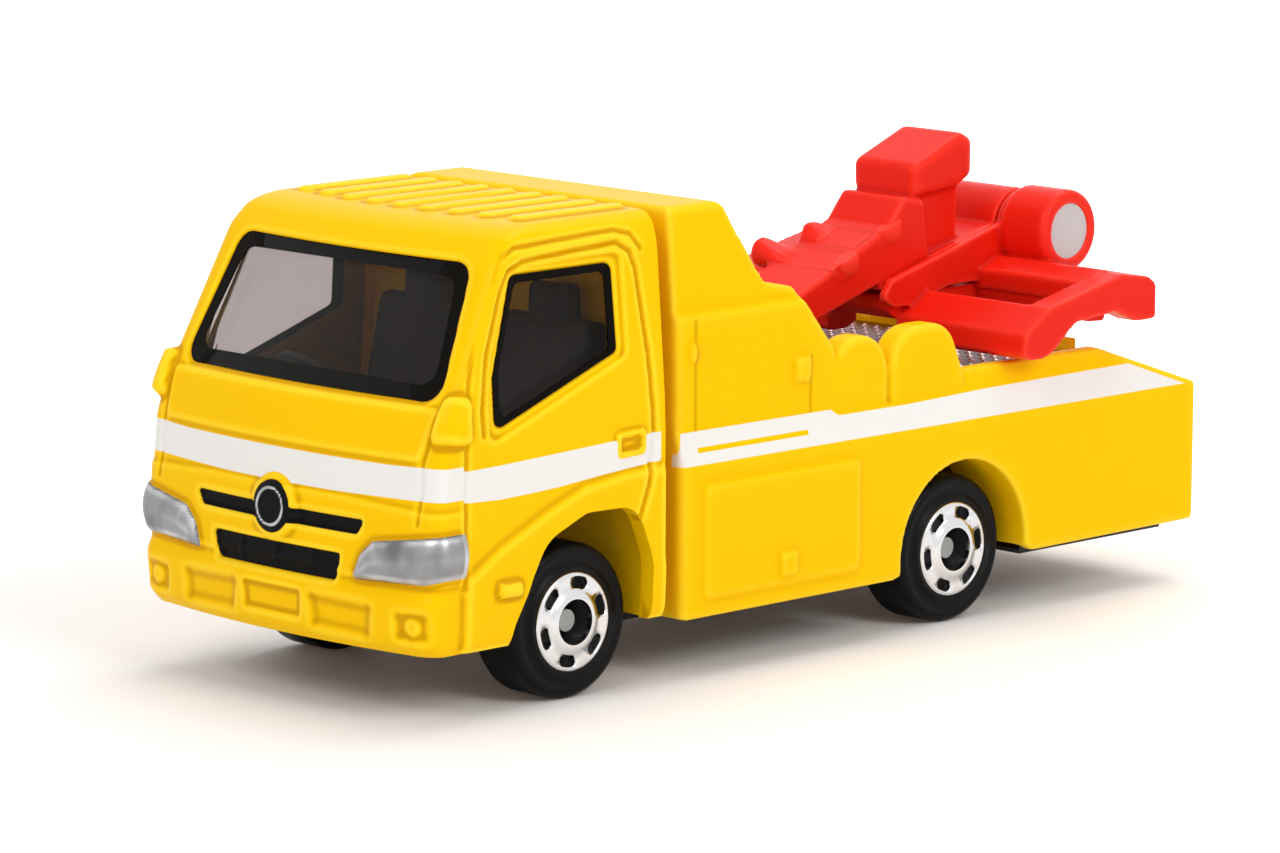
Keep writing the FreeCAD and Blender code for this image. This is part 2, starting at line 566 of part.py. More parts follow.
def make_tyre(x, sign):
    prof = [
        (AXLE_R, HUB_HOLE_DEPTH), (HUB_HOLE_R, HUB_HOLE_DEPTH), (HUB_HOLE_R, 0.1), (RING_R, 0.1),
        (RING_R, 0.0), (3.6, 0.0), (3.7, 0.22), (4.35, 0.22), (4.6, 0.12), (4.95, 0.35),
        (TYRE_R, 0.75), (TYRE_R, TYRE_WIDTH - 0.5), (4.8, TYRE_WIDTH), (AXLE_R, TYRE_WIDTH),
    ]
    return wheel_profile_turn(prof, x, sign * TYRE_FACE_Y, sign)


def make_slot():
    """One window of the wheel disc: a curved slot with round ends, centred on +Z."""
    r0, r1 = SLOT_R
    mid = (r0 + r1) / 2
    end_r = (r1 - r0) / 2
    reach = SLOT_HALF_ANGLE - math.degrees(end_r / mid)
    hole = Part.makeCylinder(r0, 2, V(0, -1, 0), V(0, 1, 0))
    band = Part.makeCylinder(r1, 2, V(0, -1, 0), V(0, 1, 0)).cut(hole)
    side = 4 * math.tan(math.radians(reach))
    wedge = prism_y([(0, 0), (side, 4), (-side, 4)], -1, 1)
    parts = [band.common(wedge)]
    for a in (-reach, reach):
        parts.append(drum_y(mid * math.sin(math.radians(a)), mid * math.cos(math.radians(a)), end_r, -1, 1))
    return fused(parts)


def make_ring(x, sign, phase):
    """Foiled face of the wheel disc: six windows and a raised rim round the hub hole."""
    prof = [(RING_IN_R, -0.3), (1.95, -0.3), (2.07, -0.1), (3.05, -0.12), (RING_R, -0.05),
            (RING_R - 0.02, 0.1), (RING_IN_R, 0.1)]
    ring = wheel_profile_turn(prof, x, sign * TYRE_FACE_Y, sign)
    slots = []
    for i in range(SLOT_COUNT):
        slot = make_slot()
        slot.rotate(V(0, 0, 0), V(0, 1, 0), -(phase + 360 / SLOT_COUNT * i))
        slot.translate(V(x, sign * TYRE_FACE_Y, TYRE_R))
        slots.append(slot)
    return ring.cut(slots)


def make_axle(x):
    end = TYRE_FACE_Y - 0.55
    shaft = drum_y(x, TYRE_R, AXLE_R - 0.0, -end, end)
    return shaft


def make_interior():
    floor = block(CAB_REAR_X + 1.2, 33.6, -10.2, 10.2, 11.8, 12.6)
    parts = [floor]
    for y in (-5.6, 5.6):
        seat = cabin([(17.4, 12.4), (24.6, 12.4), (25.0, 15.4, 0.8), (20.4, 15.8, 0.6), (18.6, 23.6, 0.8),
                      (17.0, 23.6, 0.6)])
        head_rest = cabin([(17.0, 23.0), (18.5, 23.0), (18.4, 25.8, 0.6), (17.2, 25.8, 0.5)])
        parts.append(prism_y(seat, y - 3.9, y + 3.9))
        parts.append(prism_y(head_rest, y - 1.7, y + 1.7))
    dash = cabin([(29.4, 12.4), (33.0, 12.4), (32.0, 18.3, 0.8), (30.4, 18.7, 0.8), (29.4, 16.5, 0.6)])
    parts.append(prism_y(dash, -9.2, 9.2))
    return fused(parts)


def make_steering_wheel():
    turn = [V(2.1 + 0.28 * math.cos(math.radians(60 * i)), 0, 0.28 * math.sin(math.radians(60 * i)))
            for i in range(6)]
    rim = Part.Face(Part.makePolygon(turn + [turn[0]])).revolve(V(0, 0, 0), V(0, 0, 1), 360)
    spoke = block(-2.1, 2.1, -0.25, 0.25, -0.2, 0.2)
    spoke2 = block(-0.25, 0.25, -2.1, 0, -0.2, 0.2)
    hub = Part.makeCylinder(0.6, 2.2, V(0, 0, -2.0))
    wheel = fused([rim, spoke, spoke2, hub])
    wheel.rotate(V(0, 0, 0), V(0, 1, 0), -38)
    wheel.translate(V(28.4, -5.6, cabin_z(19.6)))
    return wheel


def make_rivet(x):
    return Part.makeCone(RIVET_R, RIVET_R - 0.35, 0.4, V(x, 0, BASE_Z0 + 0.5), V(0, 0, -1))


BEAM = [
    (-2.7, 19.6, 0.3), (-8.1, 21.95, 0), (-12.2, 23.7, 0), (-17.1, 25.9, 0), (-20.8, 27.4, 0.3),
    (-21.2, 23.4, 0), (-16.1, 21.85, 0), (-9.85, 19.95, 0), (-3.4, 17.7, 0.3),
]
COLLAR = [(-17.3, 26.0, 0.4), (-18.9, 27.9, 0.5), (-21.0, 27.5, 0.4), (-21.6, 23.6, 0.3), (-19.2, 22.9, 0.3)]
NECK = [(-20.5, 27.3), (-20.8, 28.4), (-25.0, 29.0), (-24.9, 24.4), (-20.9, 23.3)]
HEAD = [(-19.95, 27.7, 0.4), (-19.85, 29.95, 0.7), (-24.9, 31.95, 0.7), (-26.0, 31.4, 0.6), (-26.0, 28.8, 0.7),
        (-24.6, 28.1, 0.3)]
TONGUE = [(-16.9, 22.2), (-29.0, 25.45), (TIP_X, 26.5), (TIP_X, 22.4), (-26.5, 21.7), (-20.5, 21.6), (-16.4, 21.5)]


def make_boom():
    parts = [
        soft_prism_y(BEAM, -BEAM_Y, BEAM_Y, 0.25),
        soft_prism_y(COLLAR, -BEAM_Y, BEAM_Y, 0.3),
        prism_y(NECK, -2.4, 2.4),
        soft_prism_y(HEAD, -BEAM_Y, BEAM_Y, 0.6),
        prism_y(TONGUE, -BEAM_Y, BEAM_Y),
        drum_y(PIVOT_X, PIVOT_Z, 1.35, -BEAM_Y, BEAM_Y),
        drum_y(PIVOT_X, PIVOT_Z, PIVOT_R, -BEAM_Y - 1.3, BEAM_Y + 1.3),
        drum_y(TIP_X, TIP_Z, KNUCKLE_R, -BEAM_Y, BEAM_Y),
        drum_y(-12.7, 23.8, 1.1, -5.0, BEAM_Y + 0.1),
        drum_y(-15.5, 24.75, 1.15, 0.1 - BEAM_Y, BEAM_Y - 0.6),
        drum_y(-19.6, 26.1, 1.3, 0.1 - BEAM_Y, BEAM_Y - 0.6),
    ]
    boom = fused(parts)
    return boom.cut(drum_y(TIP_X, TIP_Z, TIP_PIN_R + TIP_PLAY, -10, 10))


ARM = [(-15.8, 21.1, 0.5), (-16.8, 22.35, 0.4), (-28.9, 25.57, 0), (TIP_X, 27.4, 0), (TIP_X, 22.5, 0),
       (-25.8, 21.45, 0), (-22.3, 21.3, 0), (-19.0, 20.4, 0), (-16.9, 20.4, 0.4)]
FRONT_BAR = [(-20.3, 21.35, 0.2), (-17.9, 19.7, 0.3), (-17.7, 18.2, 0.3), (-18.4, 17.85, 0.2), (-19.9, 17.85, 0.3),
             (-20.9, 18.3, 0.2), (-21.1, 20.9, 0.2)]
CHEEK = [(-20.35, 21.3, 0.2), (-17.9, 19.7, 0.3), (-17.7, 18.2, 0.3), (-18.4, 17.85, 0.2), (-19.9, 17.85, 0.3),
         (-20.8, 18.2, 0.3), (-23.0, 19.95, 0.4), (-25.7, 20.2, 0), (-27.4, 20.3, 0.5), (-29.6, 19.4, 0.3),
         (-31.5, 19.4, 0.4), (-31.5, 21.9, 0.4), (-30.8, 22.45, 0.3), (-27.9, 22.9, 0.3)]
REAR_BAR = [(-25.8, 20.9, 0.3), (-25.7, 22.3, 0.3), (-27.5, 23.1, 0.4), (-30.8, 22.45, 0.3), (-31.4, 21.8, 0.3),
            (-31.4, 20.6, 0.3), (-29.4, 20.2, 0), (-27.4, 20.4, 0)]


def make_lift_half(sign):
    parts = [
        prism_y(ARM, ARM_IN_Y, ARM_OUT_Y),
        drum_y(TIP_X, TIP_Z, KNUCKLE_R, ARM_IN_Y, ARM_OUT_Y),
        soft_drum_y(TIP_X, TIP_Z, BOSS_R, ARM_OUT_Y, BOSS_Y, 0.45),
        prism_y(FRONT_BAR, ARM_IN_Y, CHEEK_IN_Y + 0.5),
        prism_y(REAR_BAR, ARM_IN_Y, CHEEK_IN_Y + 0.5),
        prism_y(CHEEK, CHEEK_IN_Y, LIFT_Y),
    ]
    half = fused(parts)
    half = half.cut(drum_y(TIP_X, TIP_Z, TIP_PIN_R, -1, BOSS_Y + 1))
    return half if sign > 0 else mirror(half)


def make_tip_pin():
    return drum_y(TIP_X, TIP_Z, TIP_PIN_R, -BOSS_Y + 0.2, BOSS_Y - 0.2)


save("cab_shell", make_cab_shell())
save("window_insert", make_windows())
save("interior", make_interior())
save("steering_wheel", make_steering_wheel())
save("rear_body", make_rear_body())
save("deck_plate", make_deck_plate())
save("base_plate", make_base())
save("rivet_front", make_rivet(RIVET_X[0]))
save("rivet_rear", make_rivet(RIVET_X[1]))
for tag, axle_x in (("front", FRONT_AXLE_X), ("rear", REAR_AXLE_X)):
    save(tag + "_axle", make_axle(axle_x))
    for side, sign in (("left", 1), ("right", -1)):
        save(tag + "_" + side + "_tyre", make_tyre(axle_x, sign))
        save(tag + "_" + side + "_ring", make_ring(axle_x, sign, SLOT_PHASE[tag]))
save("boom", make_boom())
save("lift_left", make_lift_half(1))
save("lift_right", make_lift_half(-1))
save("lift_pin", make_tip_pin())
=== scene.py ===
import bmesh
import bpy
import math
import numpy as np
from mathutils import Matrix, Vector
from mathutils.kdtree import KDTree


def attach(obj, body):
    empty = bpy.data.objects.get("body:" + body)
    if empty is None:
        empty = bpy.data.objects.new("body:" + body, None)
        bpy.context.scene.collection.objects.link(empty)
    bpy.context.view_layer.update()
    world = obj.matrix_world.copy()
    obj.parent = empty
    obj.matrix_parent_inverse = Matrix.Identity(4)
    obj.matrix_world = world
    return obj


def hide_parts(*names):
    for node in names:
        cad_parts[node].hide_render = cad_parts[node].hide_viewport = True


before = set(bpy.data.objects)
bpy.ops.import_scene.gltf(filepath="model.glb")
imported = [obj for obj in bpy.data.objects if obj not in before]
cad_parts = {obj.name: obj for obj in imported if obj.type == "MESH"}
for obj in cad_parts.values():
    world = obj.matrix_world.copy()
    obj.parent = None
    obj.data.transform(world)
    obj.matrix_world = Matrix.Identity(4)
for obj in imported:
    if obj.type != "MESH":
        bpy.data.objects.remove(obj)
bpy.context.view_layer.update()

# Camera.  A long lens some 40 cm off the toy's left front corner, a little higher
# than its roof.  Sizes here are in millimetres, and MM turns them into metres.
MM = 0.001
CAMERA_EYE = Vector((286.15, 282.4, 82.1)) * MM
CAMERA_YAW = math.radians(45.046)
CAMERA_PITCH = math.radians(9.684)
CAMERA_ROLL = math.radians(-0.33)
LENS_MM = 168.75
SENSOR_MM = 36.0
CLIP_START = 0.01
CLIP_END = 20.0

ahead = -Vector((math.cos(CAMERA_YAW) * math.cos(CAMERA_PITCH),
                 math.sin(CAMERA_YAW) * math.cos(CAMERA_PITCH), math.sin(CAMERA_PITCH)))
level_right = ahead.cross(Vector((0, 0, 1))).normalized()
level_down = ahead.cross(level_right)
image_right = level_right * math.cos(CAMERA_ROLL) + level_down * math.sin(CAMERA_ROLL)
image_down = level_down * math.cos(CAMERA_ROLL) - level_right * math.sin(CAMERA_ROLL)
camera_data = bpy.data.cameras.new("camera")
camera_data.lens = LENS_MM
camera_data.sensor_width = SENSOR_MM
camera_data.clip_start = CLIP_START
camera_data.clip_end = CLIP_END
camera = bpy.data.objects.new("camera", camera_data)
camera_turn = Matrix((image_right, -image_down, -ahead)).transposed().to_4x4()
camera.matrix_world = Matrix.Translation(CAMERA_EYE) @ camera_turn
scene = bpy.context.scene
scene.collection.objects.link(camera)
scene.camera = camera

# Studio.  A white floor in a white room that the camera, mirrors and clear pieces
# see at full strength and other surfaces more dimly, lit by three soft boxes.
ROOM_LIGHT = 0.62
FLOOR_HALF = 2.5
FLOOR_WHITE = (0.93, 0.92, 0.915)
# the floor's own glow for the camera, low beneath the toy and full farther out, in metres; it is painted
# light, centred ahead of the toy so that more of it falls over the shadow behind the tail
GLOW_CENTRE = (0.03, 0.02, 0.0)
GLOW_NEAR = 0.045
GLOW_FAR = 0.17
GLOW_LOW = 0.03
GLOW_FULL = 0.95
# the glow's colour where it is weak near the toy, a painted warm tint in the shadow there, white once the
# glow reaches WHITE_FROM
SHADOW_WARMTH = (1.0, 0.55, 0.25, 1.0)
WHITE_FROM = 0.2
# name, place, target, size and power
SOFT_BOXES = (
    ("top_box", (-0.20, -0.05, 0.5), (0, 0, 0.01), 0.35, 1.02),
    ("front_box", (0.48, 0.08, 0.42), (0, 0, 0.015), 0.25, 0.86),
    ("side_box", (0.04, 0.50, 0.36), (0, 0, 0.015), 0.25, 1.08),
)
scene.view_settings.view_transform = "Standard"


def number(tree, operation, *inputs):
    """One math node; each input is a socket or a value."""
    node = tree.nodes.new("ShaderNodeMath")
    node.operation = operation
    for socket, value in zip(node.inputs, inputs):
        if isinstance(value, bpy.types.NodeSocket):
            tree.links.new(value, socket)
        else:
            socket.default_value = value
    return node.outputs[0]


def rise_between(tree, value, low, high, to_low=0.0, to_high=1.0, curve="SMOOTHSTEP"):
    """Turns a value between low and high into one between two others, and holds it beyond them."""
    node = tree.nodes.new("ShaderNodeMapRange")
    node.interpolation_type = curve
    for name, setting in (("From Min", low), ("From Max", high), ("To Min", to_low), ("To Max", to_high)):
        node.inputs[name].default_value = setting
    tree.links.new(value, node.inputs["Value"])
    return node.outputs["Result"]


def new_finish(name, colour, roughness, metallic=0.0, specular=0.5):
    """A material, its node tree and its Principled shader, for each section to work on."""
    material = bpy.data.materials.new(name)
    material.use_nodes = True
    shader = material.node_tree.nodes["Principled BSDF"]
    shader.inputs["Base Color"].default_value = (*colour, 1.0)
    shader.inputs["Roughness"].default_value = roughness
    shader.inputs["Metallic"].default_value = metallic
    shader.inputs["Specular IOR Level"].default_value = specular
    return material, material.node_tree, shader


world = bpy.data.worlds.new("studio")
scene.world = world
world.use_nodes = True
tree = world.node_tree
room = tree.nodes["Background"]
room.inputs["Color"].default_value = (1.0, 1.0, 1.0, 1.0)
path = tree.nodes.new("ShaderNodeLightPath")
seen = 0.0
for ray in ("Is Camera Ray", "Is Glossy Ray", "Is Transmission Ray"):
    seen = number(tree, "MAXIMUM", path.outputs[ray], seen)
tree.links.new(rise_between(tree, seen, 0.0, 1.0, ROOM_LIGHT, 1.0, "LINEAR"), room.inputs["Strength"])

for name, place, target, size, power in SOFT_BOXES:
    light = bpy.data.lights.new(name, "AREA")
    light.shape = "SQUARE"
    light.size = size
    light.energy = power
    lamp = bpy.data.objects.new(name, light)
    lamp.location = place
    lamp.rotation_mode = "QUATERNION"
    lamp.rotation_quaternion = (Vector(target) - Vector(place)).to_track_quat("-Z", "Y")
    scene.collection.objects.link(lamp)

floor_mesh = bpy.data.meshes.new("floor")
floor_corners = [(x * FLOOR_HALF, y * FLOOR_HALF, 0) for x, y in ((-1, -1), (1, -1), (1, 1), (-1, 1))]
floor_mesh.from_pydata(floor_corners, [], [(0, 1, 2, 3)])
floor = bpy.data.objects.new("floor", floor_mesh)
scene.collection.objects.link(floor)
floor_white, tree, shader = new_finish("floor_white", FLOOR_WHITE, 0.6, specular=0.1)
floor_mesh.materials.append(floor_white)
# Painted light: the floor glows for the camera, least near the toy and warm there as a painted warm shadow,
# more behind the tail
path = tree.nodes.new("ShaderNodeLightPath")
where = tree.nodes.new("ShaderNodeTexCoord")
away = tree.nodes.new("ShaderNodeVectorMath")
away.operation = "DISTANCE"
away.inputs[1].default_value = GLOW_CENTRE
tree.links.new(where.outputs["Object"], away.inputs[0])
glow = rise_between(tree, away.outputs["Value"], GLOW_NEAR, GLOW_FAR, GLOW_LOW, GLOW_FULL)
seen_glow = number(tree, "MULTIPLY", path.outputs["Is Camera Ray"], glow)
tree.links.new(seen_glow, shader.inputs["Emission Strength"])
warmth = tree.nodes.new("ShaderNodeValToRGB")
warmth.color_ramp.elements[0].color = SHADOW_WARMTH
warmth.color_ramp.elements[1].color = (1.0, 1.0, 1.0, 1.0)
warmth.color_ramp.elements[1].position = WHITE_FROM
tree.links.new(glow, warmth.inputs["Fac"])
tree.links.new(warmth.outputs["Color"], shader.inputs["Emission Color"])

# Cab.  One hollow die-cast shell, enamelled yellow, with its windows and wheel
# arches cut through.  Door gaps, lamps, grilles, bumper pockets and roof ribs are
# low relief on a dense skin, and band, grilles and lamps are painted on them.
FRAME_SHIFT = 0.25
CAB_REAR_X = 15.5
CAB_WALL = 0.9
# the roof's wall is let in from the first height up to the second
ROOF_WALL_Z = (29.0, 31.0)
RIDGE_HALF = 0.02
# how far a corner runs across the front, as a share of its depth and at most of the half width
CORNER_SPREAD = 0.9
CORNER_MOST = 0.9
# plan sections up the height: z, front x, half width, corner depth, bow
CAB_SECTIONS = np.array([
    (4.6, 36.7, 13.5, 2.2, 0.9), (5.3, 37.2, 13.9, 2.2, 0.9), (8.1, 37.3, 14.0, 2.1, 0.9),
    (8.6, 36.9, 13.9, 2.0, 0.9), (12.8, 36.7, 13.9, 1.9, 0.9), (16.8, 36.3, 13.9, 1.8, 0.9),
    (19.2, 35.5, 13.8, 1.8, 0.9), (29.0, 30.5, 13.0, 1.8, 0.8), (30.3, 29.3, 12.6, 1.8, 0.7),
    (30.8, 28.0, 12.1, 1.7, 0.6), (31.0, 26.6, 11.6, 1.6, 0.5), (31.0, 17.6, 0.02, 0.02, 0.0),
])
SKIN_STEP = 0.175
SKIN_SMOOTH_ROWS = 2
HOLLOW_STEP = 1.2
HOLLOW_BOTTOM_Z = 1.6
# lengths of a side, a corner and half the front, which set how many columns each has
COLUMN_RUNS = (17.5, 3.4, 12.2)
FEWEST_COLUMNS = 6
# the cutters' reach: along x for the windscreen, out from the middle for the sides
SCREEN_CUT = (27.0, 40.0)
WINDOW_CUT = (9.6, 16.5)
ARCH_CUT = (10.4, 16.5)

# Outlines: two coordinates and a corner radius for each point, y and z on the front
WINDSCREEN = [(-12.2, 20.4, 1.2), (12.2, 20.4, 1.2), (10.85, 28.75, 1.3), (-10.85, 28.75, 1.3)]
FRONT_PANEL = [(-12.1, 16.88, 0.5), (12.1, 16.88, 0.5), (12.5, 20.1, 0.3), (-12.5, 20.1, 0.3)]
FRONT_MASK = [(-15.5, 9.12, 0), (15.5, 9.12, 0), (15.5, 13.9, 0), (13.5, 13.75, 0.6),
              (6.15, 14.14, 0), (-6.15, 14.14, 0), (-13.5, 13.75, 0.6), (-15.5, 13.9, 0)]
GRILLE_LOW = [(-6.1, 10.43, 0.3), (6.1, 10.43, 0.3), (5.55, 8.64, 0.3), (-5.55, 8.64, 0.3)]
GRILLE_TOP = [(-8.0, 12.8, 0.2), (8.0, 12.8, 0.2), (7.35, 11.81, 0.2), (-7.35, 11.81, 0.2)]
HEADLAMP = [(7.2, 8.99, 0.25), (7.85, 10.64, 0.9), (8.9, 11.6, 0.5), (15.5, 12.6, 0), (15.5, 9.97, 0),
            (13.2, 9.27, 0.5)]
PLATE_PIT = [(-2.6, 5.9, 0.2), (2.6, 5.9, 0.2), (2.7, 7.65, 0.2), (-2.7, 7.65, 0.2)]
BUMPER_PIT = [(3.8, 5.61, 0.3), (8.65, 5.46, 0.3), (8.85, 7.46, 0.3), (3.5, 7.6, 0.3)]
FOG_PIT = [(10.95, 5.64, 0.35), (13.35, 5.7, 0.35), (13.35, 7.4, 0.35), (10.9, 7.28, 0.35)]
MIRROR_STUB = [(12.75, 18.05, 0.5), (15.2, 18.05, 0.5), (15.2, 20.85, 0.5), (12.75, 20.85, 0.5)]
FRONT_SEAM = [(12.35, 13.06), (12.35, 16.75), (12.75, 20.4)]

# Outlines and lines on the sides: x and z
SIDE_WINDOW = [(28.35, 28.06, 0.6), (19.6, 28.06, 0.6), (19.45, 22.37, 0.5), (30.4, 18.47, 0.5),
               (30.35, 21.78, 1)]
WINDOW_FRAME = [(28.65, 28.61, 0.8), (18.88, 28.71, 0.6), (18.78, 22.08, 0.6), (31.02, 17.66, 0.6),
                (30.95, 21.98, 1)]
FLARE = [(33.3, 4.0, 0), (33.3, 9.19, 0.4), (30.32, 10.97, 0), (26.08, 12.86, 0), (22.79, 14.05, 0),
         (19.1, 14.5, 0), (15.0, 14.55, 0), (15.0, 4.0, 0)]
ARCH = [(29.61, 3.4, 0), (29.22, 5.75, 2), (26.28, 11.0, 3), (22.75, 12.39, 2), (18.26, 12.29, 2.2),
        (16.8, 8.72, 3), (16.9, 3.4, 0)]
SIDE_MARKER = [(28.74, 7.9, 0.18), (30.58, 7.95, 0.18), (30.58, 8.74, 0.18), (28.74, 8.69, 0.18)]
HANDLE_RIM = [(17.35, 15.55, 0.4), (19.94, 15.45, 0.4), (19.94, 17.1, 0.3), (17.35, 17.15, 0.3)]
HANDLE_PIT = [(17.75, 15.9, 0.3), (19.55, 15.8, 0.3), (19.55, 16.8, 0.2), (17.75, 16.85, 0.2)]
DOOR_GAP = [(17.93, 11.47), (17.1, 13.55), (16.47, 17.0), (16.74, 21.78), (17.53, 27.56), (17.98, 28.66),
            (19.04, 29.3), (23.35, 29.1), (27.36, 28.86), (28.65, 28.36), (29.45, 27.16), (30.95, 23.27),
            (31.54, 19.78), (31.47, 18.37)]
GUTTER = [(16.99, 28.76), (17.71, 29.74), (19.08, 30.08), (23.68, 29.93), (27.98, 29.74), (29.3, 29.15),
          (30.0, 27.76)]
PILLAR_SEAM = [(33.26, 8.79), (33.07, 16.45), (33.0, 19.68), (32.5, 22.08), (31.0, 27.36), (30.1, 29.3)]

# Where the front, the sides and the roof begin and end on the skin
CORNER_SEAM_X = 33.3
CORNER_EASE = 0.35
FRONT_TOP_Z = 20.6
SIDE_FRONT_X = 33.9
SIDE_FACING = 0.3
SCREEN_FOOT_Z = 19.0
ROOF_Z = 30.4

# Relief: height above the skin, then the width over which its edge is eased
FRONT_PADS = (
    (FRONT_MASK, 0.12, 0.35), (FRONT_PANEL, 0.16, 0.35), (HEADLAMP, 0.2, 0.35), (GRILLE_LOW, -0.36, 0.22),
    (PLATE_PIT, -0.26, 0.3), (BUMPER_PIT, -0.32, 0.9), (FOG_PIT, -0.26, 0.7),
)
SIDE_PADS = (
    (FLARE, 0.25, 0.7), (HANDLE_RIM, 0.2, 0.3), (HANDLE_PIT, -0.36, 0.3), (WINDOW_FRAME, -0.18, 0.35),
    (SIDE_MARKER, 0.5, 0.35),
)
# line, depth and half width; the gaps fade where the skin turns to the front or the roof
SIDE_GAPS = ((DOOR_GAP, 0.26, 0.15), (GUTTER, 0.2, 0.12), (PILLAR_SEAM, 0.18, 0.13))
GAP_EDGE = 0.3
GAP_FACING = 0.75
GAP_FACING_EASE = 0.25
LAMP_DOME = 0.34
LAMP_DOME_RUN = 1.5
# the upper grille's two wings, which end short of the round boss between them
WING_DEPTH = 0.3
WING_EDGE = 0.22
WING_GAP_R = 1.66
WING_GAP_EDGE = 0.2
BOSS_Z = 12.74
# y, z, radius, height and edge of each round step: the boss's two and the fog lamp
ROUND_STEPS = ((0.0, BOSS_Z, 2.1, 0.3, 0.6), (0.0, BOSS_Z, 1.6, 0.1, 0.4), (12.25, 6.5, 0.6, 0.2, 0.5))
# the plain ring on the boss: its middle, its painted half width, and its relief
RING_R = 1.2
RING_HALF = 0.1
RING_RELIEF_HALF = 0.13
RING_HEIGHT = 0.08
RING_EDGE = 0.2
# z, half width and inner radius of each level slat, then y of the upright ones
LEVEL_SLATS = ((9.5, 0.16, 0.0), (12.27, 0.14, WING_GAP_R))
UPRIGHT_SLATS = (0.0, 3.4)
UPRIGHT_HALF = 0.12
UPRIGHT_TOP_Z = 11.0
SLAT_HEIGHT = 0.2
SLAT_EDGE = 0.3
SLATS_HALF_Y = 7.2
SEAM_DEPTH = 0.12
SEAM_HALF = 0.13
SEAM_EDGE = 0.25
STUB_HEIGHT = 0.8
STUB_EDGE = 0.6
STUB_REAR_X = 32.9
STUB_FOOT_Z = 17.0
# the rolled lip round the windows, as a radius and how far round it goes
WINDOW_LIP = 0.34
LIP_REACH = 0.86
RIB_COUNT = 9
RIB_PITCH = 2.5
RIB_REAR_X = 16.5
RIB_FRONT_X = 25.8
RIB_FRONT_BOW = 0.009
RIB_HALF = 0.62
RIB_HEIGHT = 0.28
RIB_EDGE = 0.55


def rounded(outline, arc_steps=5):
    """The outline's points with every corner turned into a short arc."""
    out = []
    count = len(outline)
    for i, (a, b, r) in enumerate(outline):
        p = Vector((a, b))
        if r <= 0:
            out.append((a, b))
            continue
        u = (Vector(outline[i - 1][:2]) - p).normalized()
        w = (Vector(outline[(i + 1) % count][:2]) - p).normalized()
        half = u.angle(w) / 2
        centre = p + (u + w).normalized() * (r / math.sin(half))
        start = (p + u * (r / math.tan(half))) - centre
        end = (p + w * (r / math.tan(half))) - centre
        sweep = math.copysign(math.pi - 2 * half, start.cross(end))
        for k in range(arc_steps + 1):
            angle = sweep * k / arc_steps
            c, s = math.cos(angle), math.sin(angle)
            out.append((centre.x + start.x * c - start.y * s, centre.y + start.x * s + start.y * c))
    return np.array(out)


def distance_to_line(points, a, b):
    """Distance of each (a, b) to a broken line."""
    nearest = np.full(a.shape, 1e9)
    for (a0, b0), (a1, b1) in zip(points[:-1], points[1:]):
        da, db = a1 - a0, b1 - b0
        t = np.clip(((a - a0) * da + (b - b0) * db) / (da * da + db * db + 1e-12), 0, 1)
        nearest = np.minimum(nearest, np.hypot(a - a0 - t * da, b - b0 - t * db))
    return nearest


def depth_inside(outline, a, b):
    """Distance of each (a, b) to a closed outline with rounded corners, positive inside it."""
    points = rounded(outline)
    inside = np.zeros(a.shape, bool)
    for (a0, b0), (a1, b1) in zip(points, np.roll(points, -1, axis=0)):
        inside ^= ((b0 > b) != (b1 > b)) & (a < (a1 - a0) * (b - b0) / (b1 - b0 + 1e-12) + a0)
    nearest = distance_to_line(np.append(points, points[:1], axis=0), a, b)
    return np.where(inside, nearest, -nearest)


def ease(x, width):
    """0 to 1 as x goes from minus half the width to plus half the width."""
    t = np.clip(x / width + 0.5, 0, 1)
    return t * t * (3 - 2 * t)


def cab_skin(step, inset, bottom_z, smooth_rows):
    """Rows up the cab and over its roof, columns from the left rear edge round to the right one."""
    table = CAB_SECTIONS.copy()
    table[:, 0] -= inset * np.interp(table[:, 0], ROOF_WALL_Z, (0, 1))
    table[:, 1] -= inset
    table[:, 2] = np.maximum(table[:, 2] - inset, RIDGE_HALF)
    table[0, 0] = bottom_z
    outward_reach = (table[:, 1] + table[:, 2]) / 2
    run = np.concatenate([[0], np.cumsum(np.hypot(np.diff(table[:, 0]), np.diff(outward_reach)))])
    rows = np.append(np.arange(0, run[-1], step), run[-1])
    track = np.stack([np.interp(rows, run, column) for column in table.T], 1)
    if smooth_rows:
        padded = np.pad(track, ((smooth_rows, smooth_rows), (0, 0)), mode="edge")
        window = 2 * smooth_rows + 1
        soft = sum(padded[k:k + len(track)] for k in range(window)) / window
        soft[0], soft[-1] = track[0], track[-1]
        track = soft
    z, front, half, corner, bow = (track[:, k:k + 1] for k in range(5))
    across = np.minimum(corner * CORNER_SPREAD, half * CORNER_MOST)
    rear_x = CAB_REAR_X + inset
    n_side, n_corner, n_front = (max(FEWEST_COLUMNS, int(length / step)) for length in COLUMN_RUNS)
    s = np.linspace(0, 1, n_side, endpoint=False)[None, :]
    side_x = rear_x + (front - corner - rear_x) * s
    side_y = half + 0 * s
    angle = np.linspace(0, math.pi / 2, n_corner, endpoint=False)[None, :]
    corner_x = front - corner + (corner - bow) * np.sin(angle)
    corner_y = half - across + across * np.cos(angle)
    f = np.linspace(0, 1, n_front)[None, :]
    front_x = front - bow * (1 - f) ** 2
    front_y = (half - across) * (1 - f)
    left_x = np.concatenate([side_x, corner_x, front_x], 1)
    left_y = np.concatenate([side_y, corner_y, front_y], 1)
    x = np.concatenate([left_x, left_x[:, -2::-1]], 1)
    y = np.concatenate([left_y, -left_y[:, -2::-1]], 1)
    return np.stack([x, y, z + 0 * x], 2)


def skin_normals(skin):
    normal = np.cross(np.gradient(skin, axis=0), np.gradient(skin, axis=1))
    return normal / np.maximum(np.linalg.norm(normal, axis=2, keepdims=True), 1e-9)


